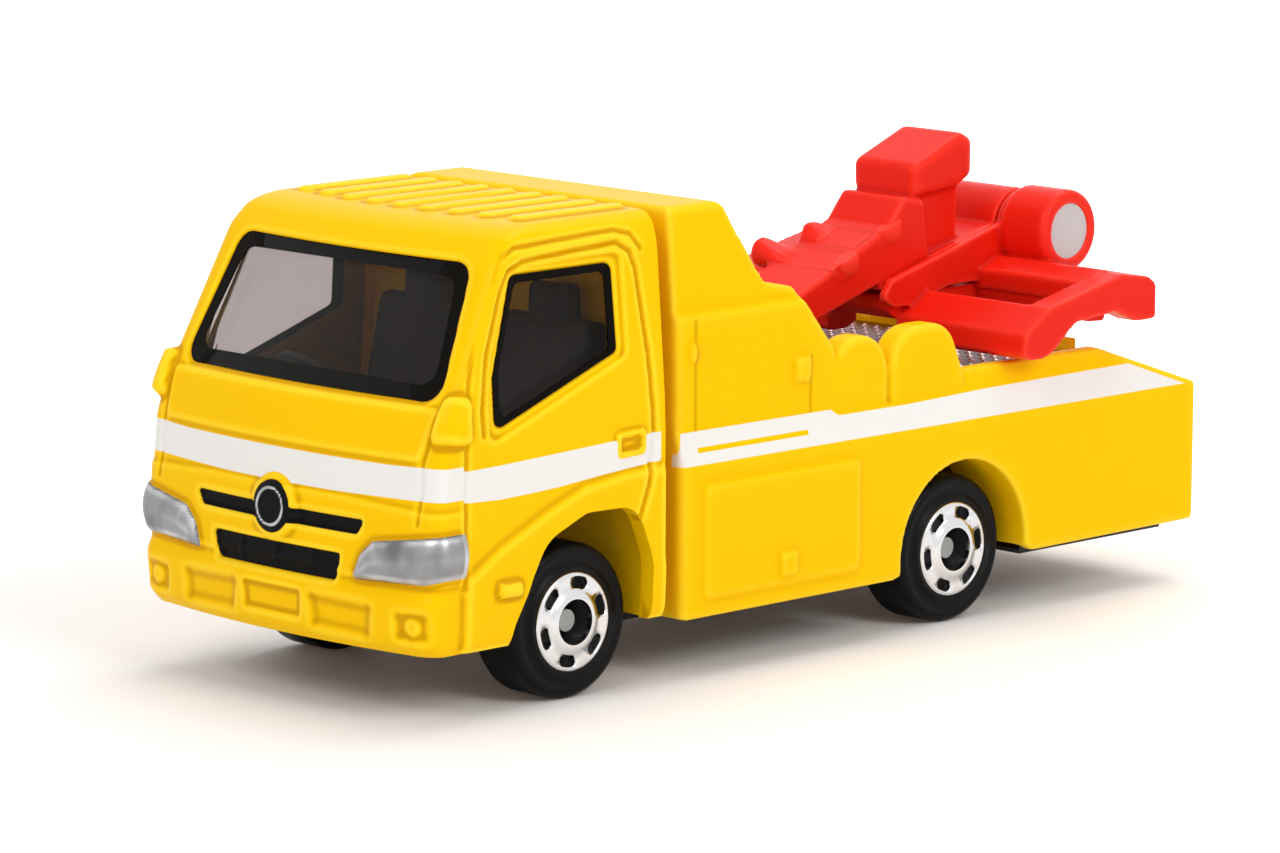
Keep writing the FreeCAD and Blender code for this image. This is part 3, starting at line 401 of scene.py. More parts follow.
def front_relief(y, z):
    """Height of the front's relief; y is the distance from the middle, as both halves are alike."""
    height = np.zeros_like(y)
    for outline, rise, edge in FRONT_PADS:
        height += rise * ease(depth_inside(outline, y, z), edge)
    dome = np.clip(depth_inside(HEADLAMP, y, z) / LAMP_DOME_RUN, 0, 1)
    height += LAMP_DOME * (1 - (1 - dome) ** 2)
    radius = np.hypot(y, z - BOSS_Z)
    wing = ease(depth_inside(GRILLE_TOP, y, z), WING_EDGE) * (1 - ease(WING_GAP_R - radius, WING_GAP_EDGE))
    height -= WING_DEPTH * wing
    for middle_y, middle_z, step_r, rise, edge in ROUND_STEPS:
        height += rise * ease(step_r - np.hypot(y - middle_y, z - middle_z), edge)
    height += RING_HEIGHT * ease(RING_RELIEF_HALF - np.abs(radius - RING_R), RING_EDGE)
    slats = np.zeros_like(y)
    for slat_z, half_width, inner_r in LEVEL_SLATS:
        slats = np.maximum(slats, ease(half_width - np.abs(z - slat_z), half_width) * (radius > inner_r))
    for slat_y in UPRIGHT_SLATS:
        slat = ease(UPRIGHT_HALF - np.abs(y - slat_y), UPRIGHT_HALF) * (z < UPRIGHT_TOP_Z)
        slats = np.maximum(slats, slat)
    in_grille = ease(depth_inside(GRILLE_LOW, y, z) - SLAT_EDGE, SLAT_EDGE)
    height += SLAT_HEIGHT * slats * np.maximum(in_grille, wing * (y < SLATS_HALF_Y))
    return height - SEAM_DEPTH * ease(SEAM_HALF - distance_to_line(FRONT_SEAM, y, z), SEAM_EDGE)


def side_relief(x, z, facing):
    """Height of a side's relief; facing is how squarely the skin looks to the side there."""
    height = np.zeros_like(x)
    for outline, rise, edge in SIDE_PADS:
        height += rise * ease(depth_inside(outline, x, z), edge)
    square_on = ease(facing - GAP_FACING, GAP_FACING_EASE)
    for line, depth, half_width in SIDE_GAPS:
        height -= depth * ease(half_width - distance_to_line(line, x, z), GAP_EDGE) * square_on
    return height


def roof_relief(x, y):
    """Height of the roof's ribs, which run back from a gently bowed front line."""
    height = np.zeros_like(x)
    for k in range(RIB_COUNT):
        rib_y = RIB_PITCH * (k - (RIB_COUNT - 1) / 2)
        front_x = RIB_FRONT_X - RIB_FRONT_BOW * rib_y ** 2
        rib = distance_to_line([(RIB_REAR_X, rib_y), (front_x, rib_y)], x, y)
        height += RIB_HEIGHT * ease(RIB_HALF - rib, RIB_EDGE)
    return height


def raise_relief(skin):
    """Moves the skin along its normals, and gives the moved skin and how far each point went."""
    normal = skin_normals(skin)
    x, y, z = skin[..., 0], skin[..., 1], skin[..., 2]
    from_middle = np.abs(y)
    facing = np.abs(normal[..., 1])
    shift = np.zeros_like(x)
    at_front = ease(x - CORNER_SEAM_X, CORNER_EASE) * (z < FRONT_TOP_Z)
    on_front = at_front > 0
    shift[on_front] = front_relief(from_middle[on_front], z[on_front]) * at_front[on_front]
    on_side = (facing > SIDE_FACING) & (x < SIDE_FRONT_X)
    shift[on_side] += side_relief(x[on_side], z[on_side], facing[on_side])
    on_roof = z > ROOF_Z
    shift[on_roof] += roof_relief(x[on_roof], y[on_roof])
    stub = ease(depth_inside(MIRROR_STUB, from_middle, z), STUB_EDGE) * ease(x - STUB_REAR_X, STUB_EDGE)
    shift += STUB_HEIGHT * stub * (z > STUB_FOOT_Z)
    on_screen = (normal[..., 0] > SIDE_FACING) & (z > SCREEN_FOOT_Z)
    for outline, a, where in ((WINDSCREEN, y, on_screen), (SIDE_WINDOW, x, on_side)):
        reach = np.clip(WINDOW_LIP + depth_inside(outline, a[where], z[where]), 0, LIP_REACH * WINDOW_LIP)
        shift[where] -= WINDOW_LIP - np.sqrt(WINDOW_LIP ** 2 - reach ** 2)
    shift[:, [0, -1]] = 0
    shift[0] = 0
    return skin + normal * shift[..., None], shift


def spread(values, reach):
    """Mean of a grid over a square window of cells."""
    size = 2 * reach + 1
    rows, cols = values.shape
    padded = np.pad(values, reach, mode="edge")
    return sum(padded[i:i + rows, j:j + cols] for i in range(size) for j in range(size)) / size ** 2


def close_skin(skin):
    """Vertices and faces of the closed solid: the skin, its ridge, its back wall and its underside."""
    rows, cols = skin.shape[:2]
    index = np.arange(rows * cols).reshape(rows, cols)
    quads = np.stack([index[1:, :-1], index[1:, 1:], index[:-1, 1:], index[:-1, :-1]], -1)
    faces = quads.reshape(-1, 4).tolist()
    top = index[-1].tolist()
    for k in range(cols // 2):
        mirror = cols - 1 - k
        if mirror - 1 > k + 1:
            faces.append((top[k + 1], top[k], top[mirror], top[mirror - 1]))
        else:
            faces.append((top[k + 1], top[k], top[mirror]))
    faces.append(index[:, 0].tolist() + index[::-1, -1].tolist())
    faces.append(index[0].tolist())
    return skin.reshape(-1, 3), faces


def mesh_object(name, verts_mm, faces):
    """A mesh drawn in the body's own millimetres, brought into the frame in metres."""
    mesh = bpy.data.meshes.new(name)
    placed = (np.asarray(verts_mm, float) + (FRAME_SHIFT, 0, 0)) * MM
    mesh.from_pydata(placed.tolist(), [], faces)
    mesh.update()
    made = bpy.data.objects.new(name, mesh)
    scene.collection.objects.link(made)
    return made


def outward(made):
    """Makes every face of a closed mesh point out of it."""
    work = bmesh.new()
    work.from_mesh(made.data)
    bmesh.ops.recalc_face_normals(work, faces=work.faces)
    work.to_mesh(made.data)
    work.free()


def prism(name, outline, axis, low, high):
    """Closed prism on a rounded outline, pulled along x or y between two stations."""
    points = rounded(outline)
    count = len(points)
    verts = []
    for station in (low, high):
        for a, b in points:
            verts.append((station, a, b) if axis == "x" else (a, station, b))
    faces = [tuple(range(count)), tuple(range(2 * count - 1, count - 1, -1))]
    for k in range(count):
        n = (k + 1) % count
        faces.append((k, k + count, n + count, n))
    made = mesh_object(name, verts, faces)
    outward(made)
    return made


def apply_modifiers(made):
    """Turns an object with its modifiers into a plain mesh."""
    made.data = bpy.data.meshes.new_from_object(made.evaluated_get(bpy.context.evaluated_depsgraph_get()))
    made.modifiers.clear()


def subtract(solid, cutter):
    """Cuts one closed mesh out of another and removes the cutter."""
    cut = solid.modifiers.new("cut", "BOOLEAN")
    cut.operation = "DIFFERENCE"
    cut.solver = "MANIFOLD"
    cut.object = cutter
    apply_modifiers(solid)
    bpy.data.objects.remove(cutter)


def smooth_by_angle(made, degrees):
    made.data.shade_smooth()
    made.data.set_sharp_from_angle(angle=math.radians(degrees))


cab_surface, relief = raise_relief(cab_skin(SKIN_STEP, 0.0, CAB_SECTIONS[0, 0], SKIN_SMOOTH_ROWS))
cab = mesh_object("cab_casting", *close_skin(cab_surface))
outward(cab)
hollow = mesh_object("cab_hollow", *close_skin(cab_skin(HOLLOW_STEP, CAB_WALL, HOLLOW_BOTTOM_Z, 0)))
outward(hollow)
subtract(cab, hollow)
subtract(cab, prism("screen_cut", WINDSCREEN, "x", *SCREEN_CUT))
for side in (1, -1):
    subtract(cab, prism("window_cut", SIDE_WINDOW, "y", *sorted(side * y for y in WINDOW_CUT)))
    subtract(cab, prism("arch_cut", ARCH, "y", *sorted(side * y for y in ARCH_CUT)))
smooth_by_angle(cab, 50)

# Paint of the cab.  The white band: x on the sides or y on the front, then its low and high edges
SIDE_BAND = [(16.5, 18.8, 21.49, 24.98, 27.68, 30.27, 33.16),
             (14.9, 14.78, 14.59, 14.31, 14.19, 14.13, 14.25),
             (16.8, 16.73, 16.62, 16.49, 16.39, 16.3, 16.25)]
FRONT_BAND = [(0.0, 4.85, 9.53, 12.75), (14.34, 14.34, 14.43, 14.49), (16.47, 16.47, 16.48, 16.58)]
BAND_REAR_X = 15.9
BAND_ROUND_BOSS_R = 2.15
BOSS_BLACK_R = 1.7
FLAT_SIDE_DEPTH = 0.4
# the skin's hollows: their full depth, the cells compared, and how far off a point may be
CAVITY_SCALE = 0.075
CAVITY_CELLS = 2
CAVITY_REACH = 0.3
# a distance well outside every painted outline, and one outside every gap
NO_PAINT = -1.0
NO_GAP = -9.0


def read_rows(items, field, width, kind=float):
    """One field of a mesh's vertices or edges, as the rows of an array."""
    flat = np.empty(len(items) * width, kind)
    items.foreach_get(field, flat)
    return flat.reshape(-1, width)


def vertex_places(made):
    """The mesh's vertices in the body's own millimetres."""
    return read_rows(made.data.vertices, "co", 3) / MM - (FRAME_SHIFT, 0, 0)


def store_mask(made, name, values):
    layer = made.data.attributes.new(name, "FLOAT", "POINT")
    layer.data.foreach_set("value", np.asarray(values, np.float32))


def section_at(z, column):
    """One column of the cab's plan sections at a height, below the roof's ridge."""
    return np.interp(z, CAB_SECTIONS[:-1, 0], CAB_SECTIONS[:-1, column])


cab_places = vertex_places(cab)
px, py, pz = cab_places[:, 0], np.abs(cab_places[:, 1]), cab_places[:, 2]
facing_front = px > CORNER_SEAM_X
boss_r = np.hypot(py, pz - BOSS_Z)
low_edge, high_edge = (np.where(facing_front, np.interp(py, FRONT_BAND[0], FRONT_BAND[k]),
                                np.interp(px, SIDE_BAND[0], SIDE_BAND[k])) for k in (1, 2))
band = np.minimum(np.minimum(pz - low_edge, high_edge - pz), px - BAND_REAR_X)
bare = np.where(facing_front, boss_r - BAND_ROUND_BOSS_R, -depth_inside(HANDLE_RIM, px, pz))
store_mask(cab, "band", np.minimum(band, bare))
grille = np.maximum(depth_inside(GRILLE_LOW, py, pz), depth_inside(GRILLE_TOP, py, pz))
grille = np.maximum(grille, BOSS_BLACK_R - boss_r)
store_mask(cab, "black", np.where(facing_front, grille, NO_PAINT))
lamp = np.minimum(depth_inside(HEADLAMP, py, pz), px - CORNER_SEAM_X)
ring = RING_HALF - np.abs(boss_r - RING_R)
store_mask(cab, "silver", np.where(facing_front, np.maximum(lamp, ring), NO_PAINT))
# painted shade along the door gap, gutter and pillar seam on the flat of the sides
gap = np.full(px.shape, NO_GAP)
for line, depth, half_width in SIDE_GAPS:
    gap = np.maximum(gap, half_width - distance_to_line(line, px, pz))
flat_side = section_at(pz, 2) - py < FLAT_SIDE_DEPTH
store_mask(cab, "gap", np.where(facing_front | ~flat_side, NO_GAP, gap))

# The skin's hollows and edges, carried over to the cut mesh from its nearest point; the enamel turns them
# into a painted highlight on edges and painted shade in hollows
cavity = np.clip((spread(relief, CAVITY_CELLS) - relief) / CAVITY_SCALE, -1, 1)
skin_points = KDTree(cavity.size)
for i, point in enumerate(cab_surface.reshape(-1, 3)):
    skin_points.insert(point, i)
skin_points.balance()
nearest = [skin_points.find(point)[1:] for point in cab_places]
store_mask(cab, "cavity", [cavity.flat[i] if apart < CAVITY_REACH else 0.0 for i, apart in nearest])


def masked(tree, name, width):
    """0 outside a painted outline and 1 inside it, from the stored distance."""
    read = tree.nodes.new("ShaderNodeAttribute")
    read.attribute_name = name
    return rise_between(tree, read.outputs["Fac"], -width, width)


def blend_in(tree, factor, below, above, kind="RGBA"):
    """Mixes a colour or a number by a mask; below and above are each a socket or a value."""
    mix = tree.nodes.new("ShaderNodeMix")
    mix.data_type = kind
    below_in, above_in, out = {"FLOAT": (2, 3, 0), "RGBA": (6, 7, 2)}[kind]
    tree.links.new(factor, mix.inputs[0])
    for socket, value in ((below_in, below), (above_in, above)):
        if isinstance(value, bpy.types.NodeSocket):
            tree.links.new(value, mix.inputs[socket])
        else:
            mix.inputs[socket].default_value = (*value, 1.0) if kind == "RGBA" else value
    return mix.outputs[out]


def painted_edge_shading(tree, tints):
    """Three colours by the stored cavity: a painted highlight on outer edges, the plain colour on flat
    faces, and painted shade in inner corners.
    """
    colours = tree.nodes.new("ShaderNodeValToRGB")
    stops = colours.color_ramp.elements
    stops.new(0.5)
    for stop, position, tint in zip(stops, (0.08, 0.5, 0.95), tints):
        stop.position = position
        stop.color = (*tint, 1.0)
    tree.links.new(masked(tree, "cavity", 1.0), colours.inputs["Fac"])
    return colours.outputs["Color"]


def build_orange_peel():
    """Group: a faint unevenness of a sprayed or moulded surface, as a normal and as a mottle."""
    group = bpy.data.node_groups.new("orange_peel", "ShaderNodeTree")
    for name, value in (("Size", 900.0), ("Height", 0.02)):
        socket = group.interface.new_socket(name, in_out="INPUT", socket_type="NodeSocketFloat")
        socket.default_value = value
    group.interface.new_socket("Normal", in_out="OUTPUT", socket_type="NodeSocketVector")
    group.interface.new_socket("Mottle", in_out="OUTPUT", socket_type="NodeSocketFloat")
    nodes, links = group.nodes, group.links
    start = nodes.new("NodeGroupInput")
    end = nodes.new("NodeGroupOutput")
    where = nodes.new("ShaderNodeTexCoord")
    noise = nodes.new("ShaderNodeTexNoise")
    noise.inputs["Detail"].default_value = 2.0
    links.new(where.outputs["Object"], noise.inputs["Vector"])
    links.new(start.outputs["Size"], noise.inputs["Scale"])
    bump = nodes.new("ShaderNodeBump")
    bump.inputs["Distance"].default_value = 0.05 * MM
    links.new(start.outputs["Height"], bump.inputs["Strength"])
    links.new(noise.outputs["Fac"], bump.inputs["Height"])
    links.new(bump.outputs["Normal"], end.inputs["Normal"])
    links.new(noise.outputs["Fac"], end.inputs["Mottle"])
    return group


orange_peel = build_orange_peel()


def place_peel(tree, size):
    """The orange peel group in a material, at a number of cells a metre."""
    node = tree.nodes.new("ShaderNodeGroup")
    node.node_tree = orange_peel
    node.inputs["Size"].default_value = size
    return node


def add_peel(tree, shader, size, height):
    node = place_peel(tree, size)
    node.inputs["Height"].default_value = height
    tree.links.new(node.outputs["Normal"], shader.inputs["Normal"])


def set_finish(mesh, finish):
    mesh.materials.clear()
    mesh.materials.append(finish)


CAB_YELLOW = (0.95, 0.55, 0.0012)
# the enamel's painted highlight on outer edges, its own yellow, and its painted shade in hollows
CAB_EDGE_SHADING = ((1.0, 0.66, 0.02), CAB_YELLOW, (0.66, 0.34, 0.0005))
# the painted shade in the door gap, gutter and pillar seam
GAP_SHADE_BROWN = (0.72, 0.38, 0.001)
BAND_WHITE = (0.82, 0.80, 0.765)
GRILLE_BLACK = (0.008, 0.008, 0.009)
# the lamps' silver paint with a painted highlight on outer edges and painted shade in hollows
LAMP_EDGE_SHADING = ((0.6, 0.6, 0.61), (0.24, 0.24, 0.25), (0.06, 0.06, 0.06))
LAMP_CLOUD = (0.18, 0.18, 0.19)
LAMP_CLOUD_CELLS = 330.0
LAMP_CLOUD_RANGE = (0.45, 0.7)
LAMP_METALLIC = 0.8
ENAMEL_ROUGH = 0.25
GRILLE_ROUGH = 0.4
LAMP_ROUGH = 0.34
GAP_SOFTNESS = 0.16
PAINT_SOFTNESS = 0.03
cab_enamel, tree, shader = new_finish("cab_enamel", CAB_YELLOW, ENAMEL_ROUGH, specular=0.035)
colour = blend_in(tree, masked(tree, "gap", GAP_SOFTNESS), painted_edge_shading(tree, CAB_EDGE_SHADING), GAP_SHADE_BROWN)
colour = blend_in(tree, masked(tree, "band", PAINT_SOFTNESS), colour, BAND_WHITE)
black_part = masked(tree, "black", PAINT_SOFTNESS)
silver_part = masked(tree, "silver", PAINT_SOFTNESS)
colour = blend_in(tree, black_part, colour, GRILLE_BLACK)
mottle = place_peel(tree, LAMP_CLOUD_CELLS).outputs["Mottle"]
cloud = rise_between(tree, mottle, *LAMP_CLOUD_RANGE, curve="LINEAR")
silver = blend_in(tree, cloud, painted_edge_shading(tree, LAMP_EDGE_SHADING), LAMP_CLOUD)
tree.links.new(blend_in(tree, silver_part, colour, silver), shader.inputs["Base Color"])
tree.links.new(blend_in(tree, silver_part, 0.0, LAMP_METALLIC, "FLOAT"), shader.inputs["Metallic"])
rough = blend_in(tree, black_part, ENAMEL_ROUGH, GRILLE_ROUGH, "FLOAT")
tree.links.new(blend_in(tree, silver_part, rough, LAMP_ROUGH, "FLOAT"), shader.inputs["Roughness"])
add_peel(tree, shader, 700.0, 0.12)
set_finish(cab.data, cab_enamel)
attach(cab, "root")
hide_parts("cab_shell")

# Glazing.  One smoke-tinted clear moulding clipped inside the cab, its panes standing in the window
# openings, with a black ring round each pane as painted shade, where the pane's edge shows the dark inside
# of the cab.
SMOKE = (0.63, 0.585, 0.575)
SMOKE_IOR = 1.2
SCREEN_BORDER = 0.95
SIDE_BORDER = 0.6
# the border's depths below the cab's skin: outer edge, inner edge, and its back
BORDER_FACE = (0.2, 0.24)
BORDER_BACK = 0.34


def moulded_finish(name, colour, roughness, cells, height, metallic=0.0, specular=0.5):
    """A plain finish whose only unevenness is its orange peel."""
    material, tree, shader = new_finish(name, colour, roughness, metallic, specular)
    add_peel(tree, shader, cells, height)
    return material


def screen_place(y, z, depth):
    """A point that lies a depth below the cab's front."""
    half, corner, bow = (section_at(z, column) for column in (2, 3, 4))
    front_x = section_at(z, 1) - bow * (y / (half - CORNER_SPREAD * corner)) ** 2
    return front_x - depth, y, z


def left_place(x, z, depth):
    return x, section_at(z, 2) - depth, z


def right_place(x, z, depth):
    return x, depth - section_at(z, 2), z


def pane_border(outline, width, place):
    """Four rings of points round a pane: outer and inner edge in front, then behind."""
    outer = rounded(outline, 6)
    middle = outer.mean(axis=0)
    reach = outer - middle
    inner = middle + reach * (1 - width / np.abs(reach).max(axis=0))
    depths = ((outer, BORDER_FACE[0]), (inner, BORDER_FACE[1]), (inner, BORDER_BACK), (outer, BORDER_BACK))
    return [[place(a, b, depth) for a, b in ring] for ring, depth in depths]


def ring_faces(rings, first):
    """Faces that join each ring of points to the next one and the last to the first."""
    count = len(rings[0])
    faces = []
    for k in range(len(rings)):
        below = first + k * count
        above = first + (k + 1) % len(rings) * count
        for i in range(count):
            n = (i + 1) % count
            faces.append([below + i, below + n, above + n, above + i])
    return faces


smoke_clear, tree, shader = new_finish("smoke_clear", SMOKE, 0.02)
shader.inputs["Transmission Weight"].default_value = 1.0
shader.inputs["IOR"].default_value = SMOKE_IOR
set_finish(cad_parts["window_insert"].data, smoke_clear)
verts, faces = [], []
for outline, width, place in (
        (WINDSCREEN, SCREEN_BORDER, screen_place), (SIDE_WINDOW, SIDE_BORDER, left_place),
        (SIDE_WINDOW, SIDE_BORDER, right_place)):
    rings = pane_border(outline, width, place)
    faces += ring_faces(rings, len(verts))
    for ring in rings:
        verts += ring
borders = mesh_object("pane_borders", verts, faces)
outward(borders)
# the black ring round each pane is painted shade
pane_edge_shade = moulded_finish("pane_edge_shade", (0.004, 0.003, 0.002), 0.35, 1500.0, 0.1, specular=0.04)
set_finish(borders.data, pane_edge_shade)
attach(borders, "root")

# Seats, dash and steering wheel.  Black plastic mouldings pushed into the cab from
# below, seen dimly through the glazing.
# the bend that gives a stand-in's full painted highlight on edges or painted shade in hollows
STAND_IN_CAVITY = 0.3


def frame_mesh(node):
    """A new mesh of a solid in frame coordinates, with its loose triangles joined up."""
    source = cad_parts[node]
    work = bmesh.new()
    work.from_mesh(source.data)
    work.transform(source.matrix_world)
    bmesh.ops.remove_doubles(work, verts=work.verts, dist=1e-6)
    mesh = bpy.data.meshes.new(node + "_skin")
    work.to_mesh(mesh)
    work.free()
    return mesh


def store_cavity(made, scale, rounds):
    """Stores how far each vertex lies in a hollow (above 0) or on an edge (below 0)."""
    mesh = made.data
    places = read_rows(mesh.vertices, "co", 3)
    normals = read_rows(mesh.vertices, "normal", 3)
    a, b = read_rows(mesh.edges, "vertices", 2, np.int32).T
    step = places[b] - places[a]
    length = np.linalg.norm(step, axis=1) + 1e-12
    count = np.bincount(a, minlength=len(places)) + np.bincount(b, minlength=len(places)) + 1e-9
    bend = np.bincount(a, (normals[a] * step).sum(1) / length, len(places))
    bend = (bend - np.bincount(b, (normals[b] * step).sum(1) / length, len(places))) / count
    for k in range(rounds):
        near = np.bincount(a, bend[b], len(places)) + np.bincount(b, bend[a], len(places))
        bend = 0.5 * bend + 0.5 * near / count
    store_mask(made, "cavity", np.clip(bend / scale, -1, 1))


def stand_in(node, body, finish, degrees=50, voxel=0.0, rounds=0, keep=1.0):
    """A smooth-shaded copy that takes a solid's place, with round edges where it has a voxel size."""
    made = bpy.data.objects.new(node + "_skin", frame_mesh(node))
    scene.collection.objects.link(made)
    if voxel:
        cells = made.modifiers.new("cells", "REMESH")
        cells.mode = "VOXEL"
        cells.voxel_size = voxel * MM
        relax = made.modifiers.new("relax", "SMOOTH")
        relax.iterations = rounds
        fewer = made.modifiers.new("fewer", "DECIMATE")
        fewer.ratio = keep
        apply_modifiers(made)
        made.data.shade_smooth()
        # the bend at each vertex, which the finishes turn into a painted highlight on edges and painted
        # shade in hollows
        store_cavity(made, STAND_IN_CAVITY, 2)
    else:
        smooth_by_angle(made, degrees)
        weights = made.modifiers.new("weights", "WEIGHTED_NORMAL")
        weights.keep_sharp = True
        apply_modifiers(made)
    set_finish(made.data, finish)
    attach(made, body)
    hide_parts(node)
    return made


cabin_black = moulded_finish("cabin_black", (0.055, 0.05, 0.045), 0.5, 1200.0, 0.02, specular=0.15)
stand_in("interior", "root", cabin_black, 40)
stand_in("steering_wheel", "root", cabin_black, 60)

# Rear body.  One yellow plastic moulding with lockers, wheel arches, humps and tail,
# clipped on behind the cab.  The white band is printed along both sides and up to
# the end of the tail's slope.  The sill is the low bar across the deck's rear end.
BODY_YELLOW = (0.955, 0.55, 0.0012)
# the moulding's painted highlight on outer edges, its own yellow, and its painted shade in hollows
BODY_EDGE_SHADING = ((1.0, 0.67, 0.03), BODY_YELLOW, (0.62, 0.31, 0.0005))
SEAM_BROWN = (0.72, 0.38, 0.0005)
# x and z of the band's top edge, then its other edges and the slot left bare in it
BAND_TOP = [(-38.2, 13.9), (-36.6, 14.08), (-30.9, 16.1), (-16.0, 16.0), (-8.0, 15.8), (-1.3, 15.82),
            (-0.6, 16.28), (13.5, 16.3)]
BAND_TOP_RANGE = (13.0, 17.0)
BAND_FOOT_Z = 14.14
BAND_TAIL_X = -36.5
BODY_SIDE_Y = 12.9
# the band's front end, as x at the ground and how far it leans back with the height
BAND_FRONT_X = 17.625
BAND_FRONT_RAKE = 0.25
BAND_SLOT = (7.05, 15.08)
BAND_SLOT_HALF = (5.2, 0.17)
# x and top z of the upright seams between lockers
LOCKER_SEAMS = ((12.2, 23.6), (1.35, 20.2))
LOCKER_SEAM_HALF = 0.11
LOCKER_SEAM_FOOT_Z = 16.3
SEAM_SHADE = (-0.12, 0.05)
SILL = [(-28.9, 16.5, 0.1), (-27.9, 16.5, 0.1), (-27.9, 17.8, 0.3), (-28.9, 17.8, 0.3)]
SILL_HALF_Y = 10.2


def body_millimetres(tree):
    """Sockets for x, y and z in the body's own millimetres."""
    where = tree.nodes.new("ShaderNodeTexCoord")
    split = tree.nodes.new("ShaderNodeSeparateXYZ")
    tree.links.new(where.outputs["Object"], split.inputs["Vector"])
    return [number(tree, "MULTIPLY_ADD", split.outputs[axis], 1 / MM, shift)
            for axis, shift in (("X", -FRAME_SHIFT), ("Y", 0.0), ("Z", 0.0))]


def height_along(tree, x, points, low, high):
    """The height of a broken line at x, which a curve holds between low and high."""
    first, last = points[0][0], points[-1][0]
    curve = tree.nodes.new("ShaderNodeFloatCurve")
    line = curve.mapping.curves[0]
    while len(line.points) < len(points):
        line.points.new(0.5, 0.5)
    for point, (a, b) in zip(line.points, points):
        point.location = ((a - first) / (last - first), (b - low) / (high - low))
        point.handle_type = "VECTOR"
    curve.mapping.update()
    along = number(tree, "DIVIDE", number(tree, "SUBTRACT", x, first), last - first)
    tree.links.new(along, curve.inputs["Value"])
    return number(tree, "MULTIPLY_ADD", curve.outputs["Value"], high - low, low)


def within(tree, value, middle, half):
    """How far inside a strip a value lies, negative outside it."""
    return number(tree, "SUBTRACT", half, number(tree, "ABSOLUTE", number(tree, "SUBTRACT", value, middle)))


def print_band(tree, x, z, beyond_side):
    """Mask of the white band, from the distance inside its edges."""
    depth = number(tree, "SUBTRACT", height_along(tree, x, BAND_TOP, *BAND_TOP_RANGE), z)
    front = number(tree, "SUBTRACT", BAND_FRONT_X, number(tree, "MULTIPLY", z, BAND_FRONT_RAKE))
    for edge in (number(tree, "SUBTRACT", z, BAND_FOOT_Z), number(tree, "SUBTRACT", x, BAND_TAIL_X),
                 number(tree, "SUBTRACT", front, x), beyond_side):
        depth = number(tree, "MINIMUM", depth, edge)
    in_slot = number(tree, "MINIMUM", within(tree, x, BAND_SLOT[0], BAND_SLOT_HALF[0]),
                     within(tree, z, BAND_SLOT[1], BAND_SLOT_HALF[1]))
    depth = number(tree, "MINIMUM", depth, number(tree, "MULTIPLY", in_slot, -1.0))
    return rise_between(tree, depth, -PAINT_SOFTNESS, PAINT_SOFTNESS)


def shade_seams(tree, x, z, beyond_side):
    """Mask of the shadow lines between the lockers, on the sides only."""
    beside = None
    for seam_x, top_z in LOCKER_SEAMS:
        height = number(tree, "MINIMUM", number(tree, "SUBTRACT", top_z, z),
                        number(tree, "SUBTRACT", z, LOCKER_SEAM_FOOT_Z))
        line = number(tree, "MINIMUM", within(tree, x, seam_x, LOCKER_SEAM_HALF), height)
        beside = number(tree, "MAXIMUM", beside, line) if beside else line
    return rise_between(tree, number(tree, "MINIMUM", beside, beyond_side), *SEAM_SHADE)


def cross_bar(name, outline, half_y, finish):
    """A bar across the toy, in the finish of the piece that it belongs to."""
    bar = prism(name, outline, "y", -half_y, half_y)
    smooth_by_angle(bar, 40)
    store_mask(bar, "cavity", np.zeros(len(bar.data.vertices)))
    set_finish(bar.data, finish)
    return bar


body_plastic, tree, shader = new_finish("body_plastic", BODY_YELLOW, 0.25, specular=0.02)
body_x, body_y, body_z = body_millimetres(tree)
beyond_side = number(tree, "SUBTRACT", number(tree, "ABSOLUTE", body_y), BODY_SIDE_Y)
seam_part = shade_seams(tree, body_x, body_z, beyond_side)
# painted highlight on edges, painted shade in hollows, then the painted shadow lines at the locker seams
colour = blend_in(tree, seam_part, painted_edge_shading(tree, BODY_EDGE_SHADING), SEAM_BROWN)
colour = blend_in(tree, print_band(tree, body_x, body_z, beyond_side), colour, BAND_WHITE)
tree.links.new(colour, shader.inputs["Base Color"])
shader.inputs["Subsurface Weight"].default_value = 0.05
shader.inputs["Subsurface Radius"].default_value = (0.6 * MM, 0.35 * MM, 0.1 * MM)
add_peel(tree, shader, 800.0, 0.1)
stand_in("rear_body", "root", body_plastic, voxel=0.2, rounds=3, keep=0.42)
sill = cross_bar("deck_sill", SILL, SILL_HALF_Y, body_plastic)
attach(sill, "root")

# Deck.  A plated sheet of tread plate laid between the side walls, coloured dark maroon all over as a
# painted reflection of the red lift above it, with bright raised lozenges in crossed rows.
DECK_Z = 16.9
TREAD_PITCH = 1.2
TREAD_TURN = math.radians(48)
LOZENGE_HALF = (0.34 * MM, 0.16 * MM, 0.12 * MM)
TREAD_REAR_X = -27.2
TREAD_FRONT_X = -1.9
TREAD_HALF_Y = 11.4
# the boom's notch at the front end, and the humps beside the deck
NOTCH_X = -6.1
NOTCH_HALF_Y = 5.5
HUMP_X = -14.5
HUMP_Y = 10.6


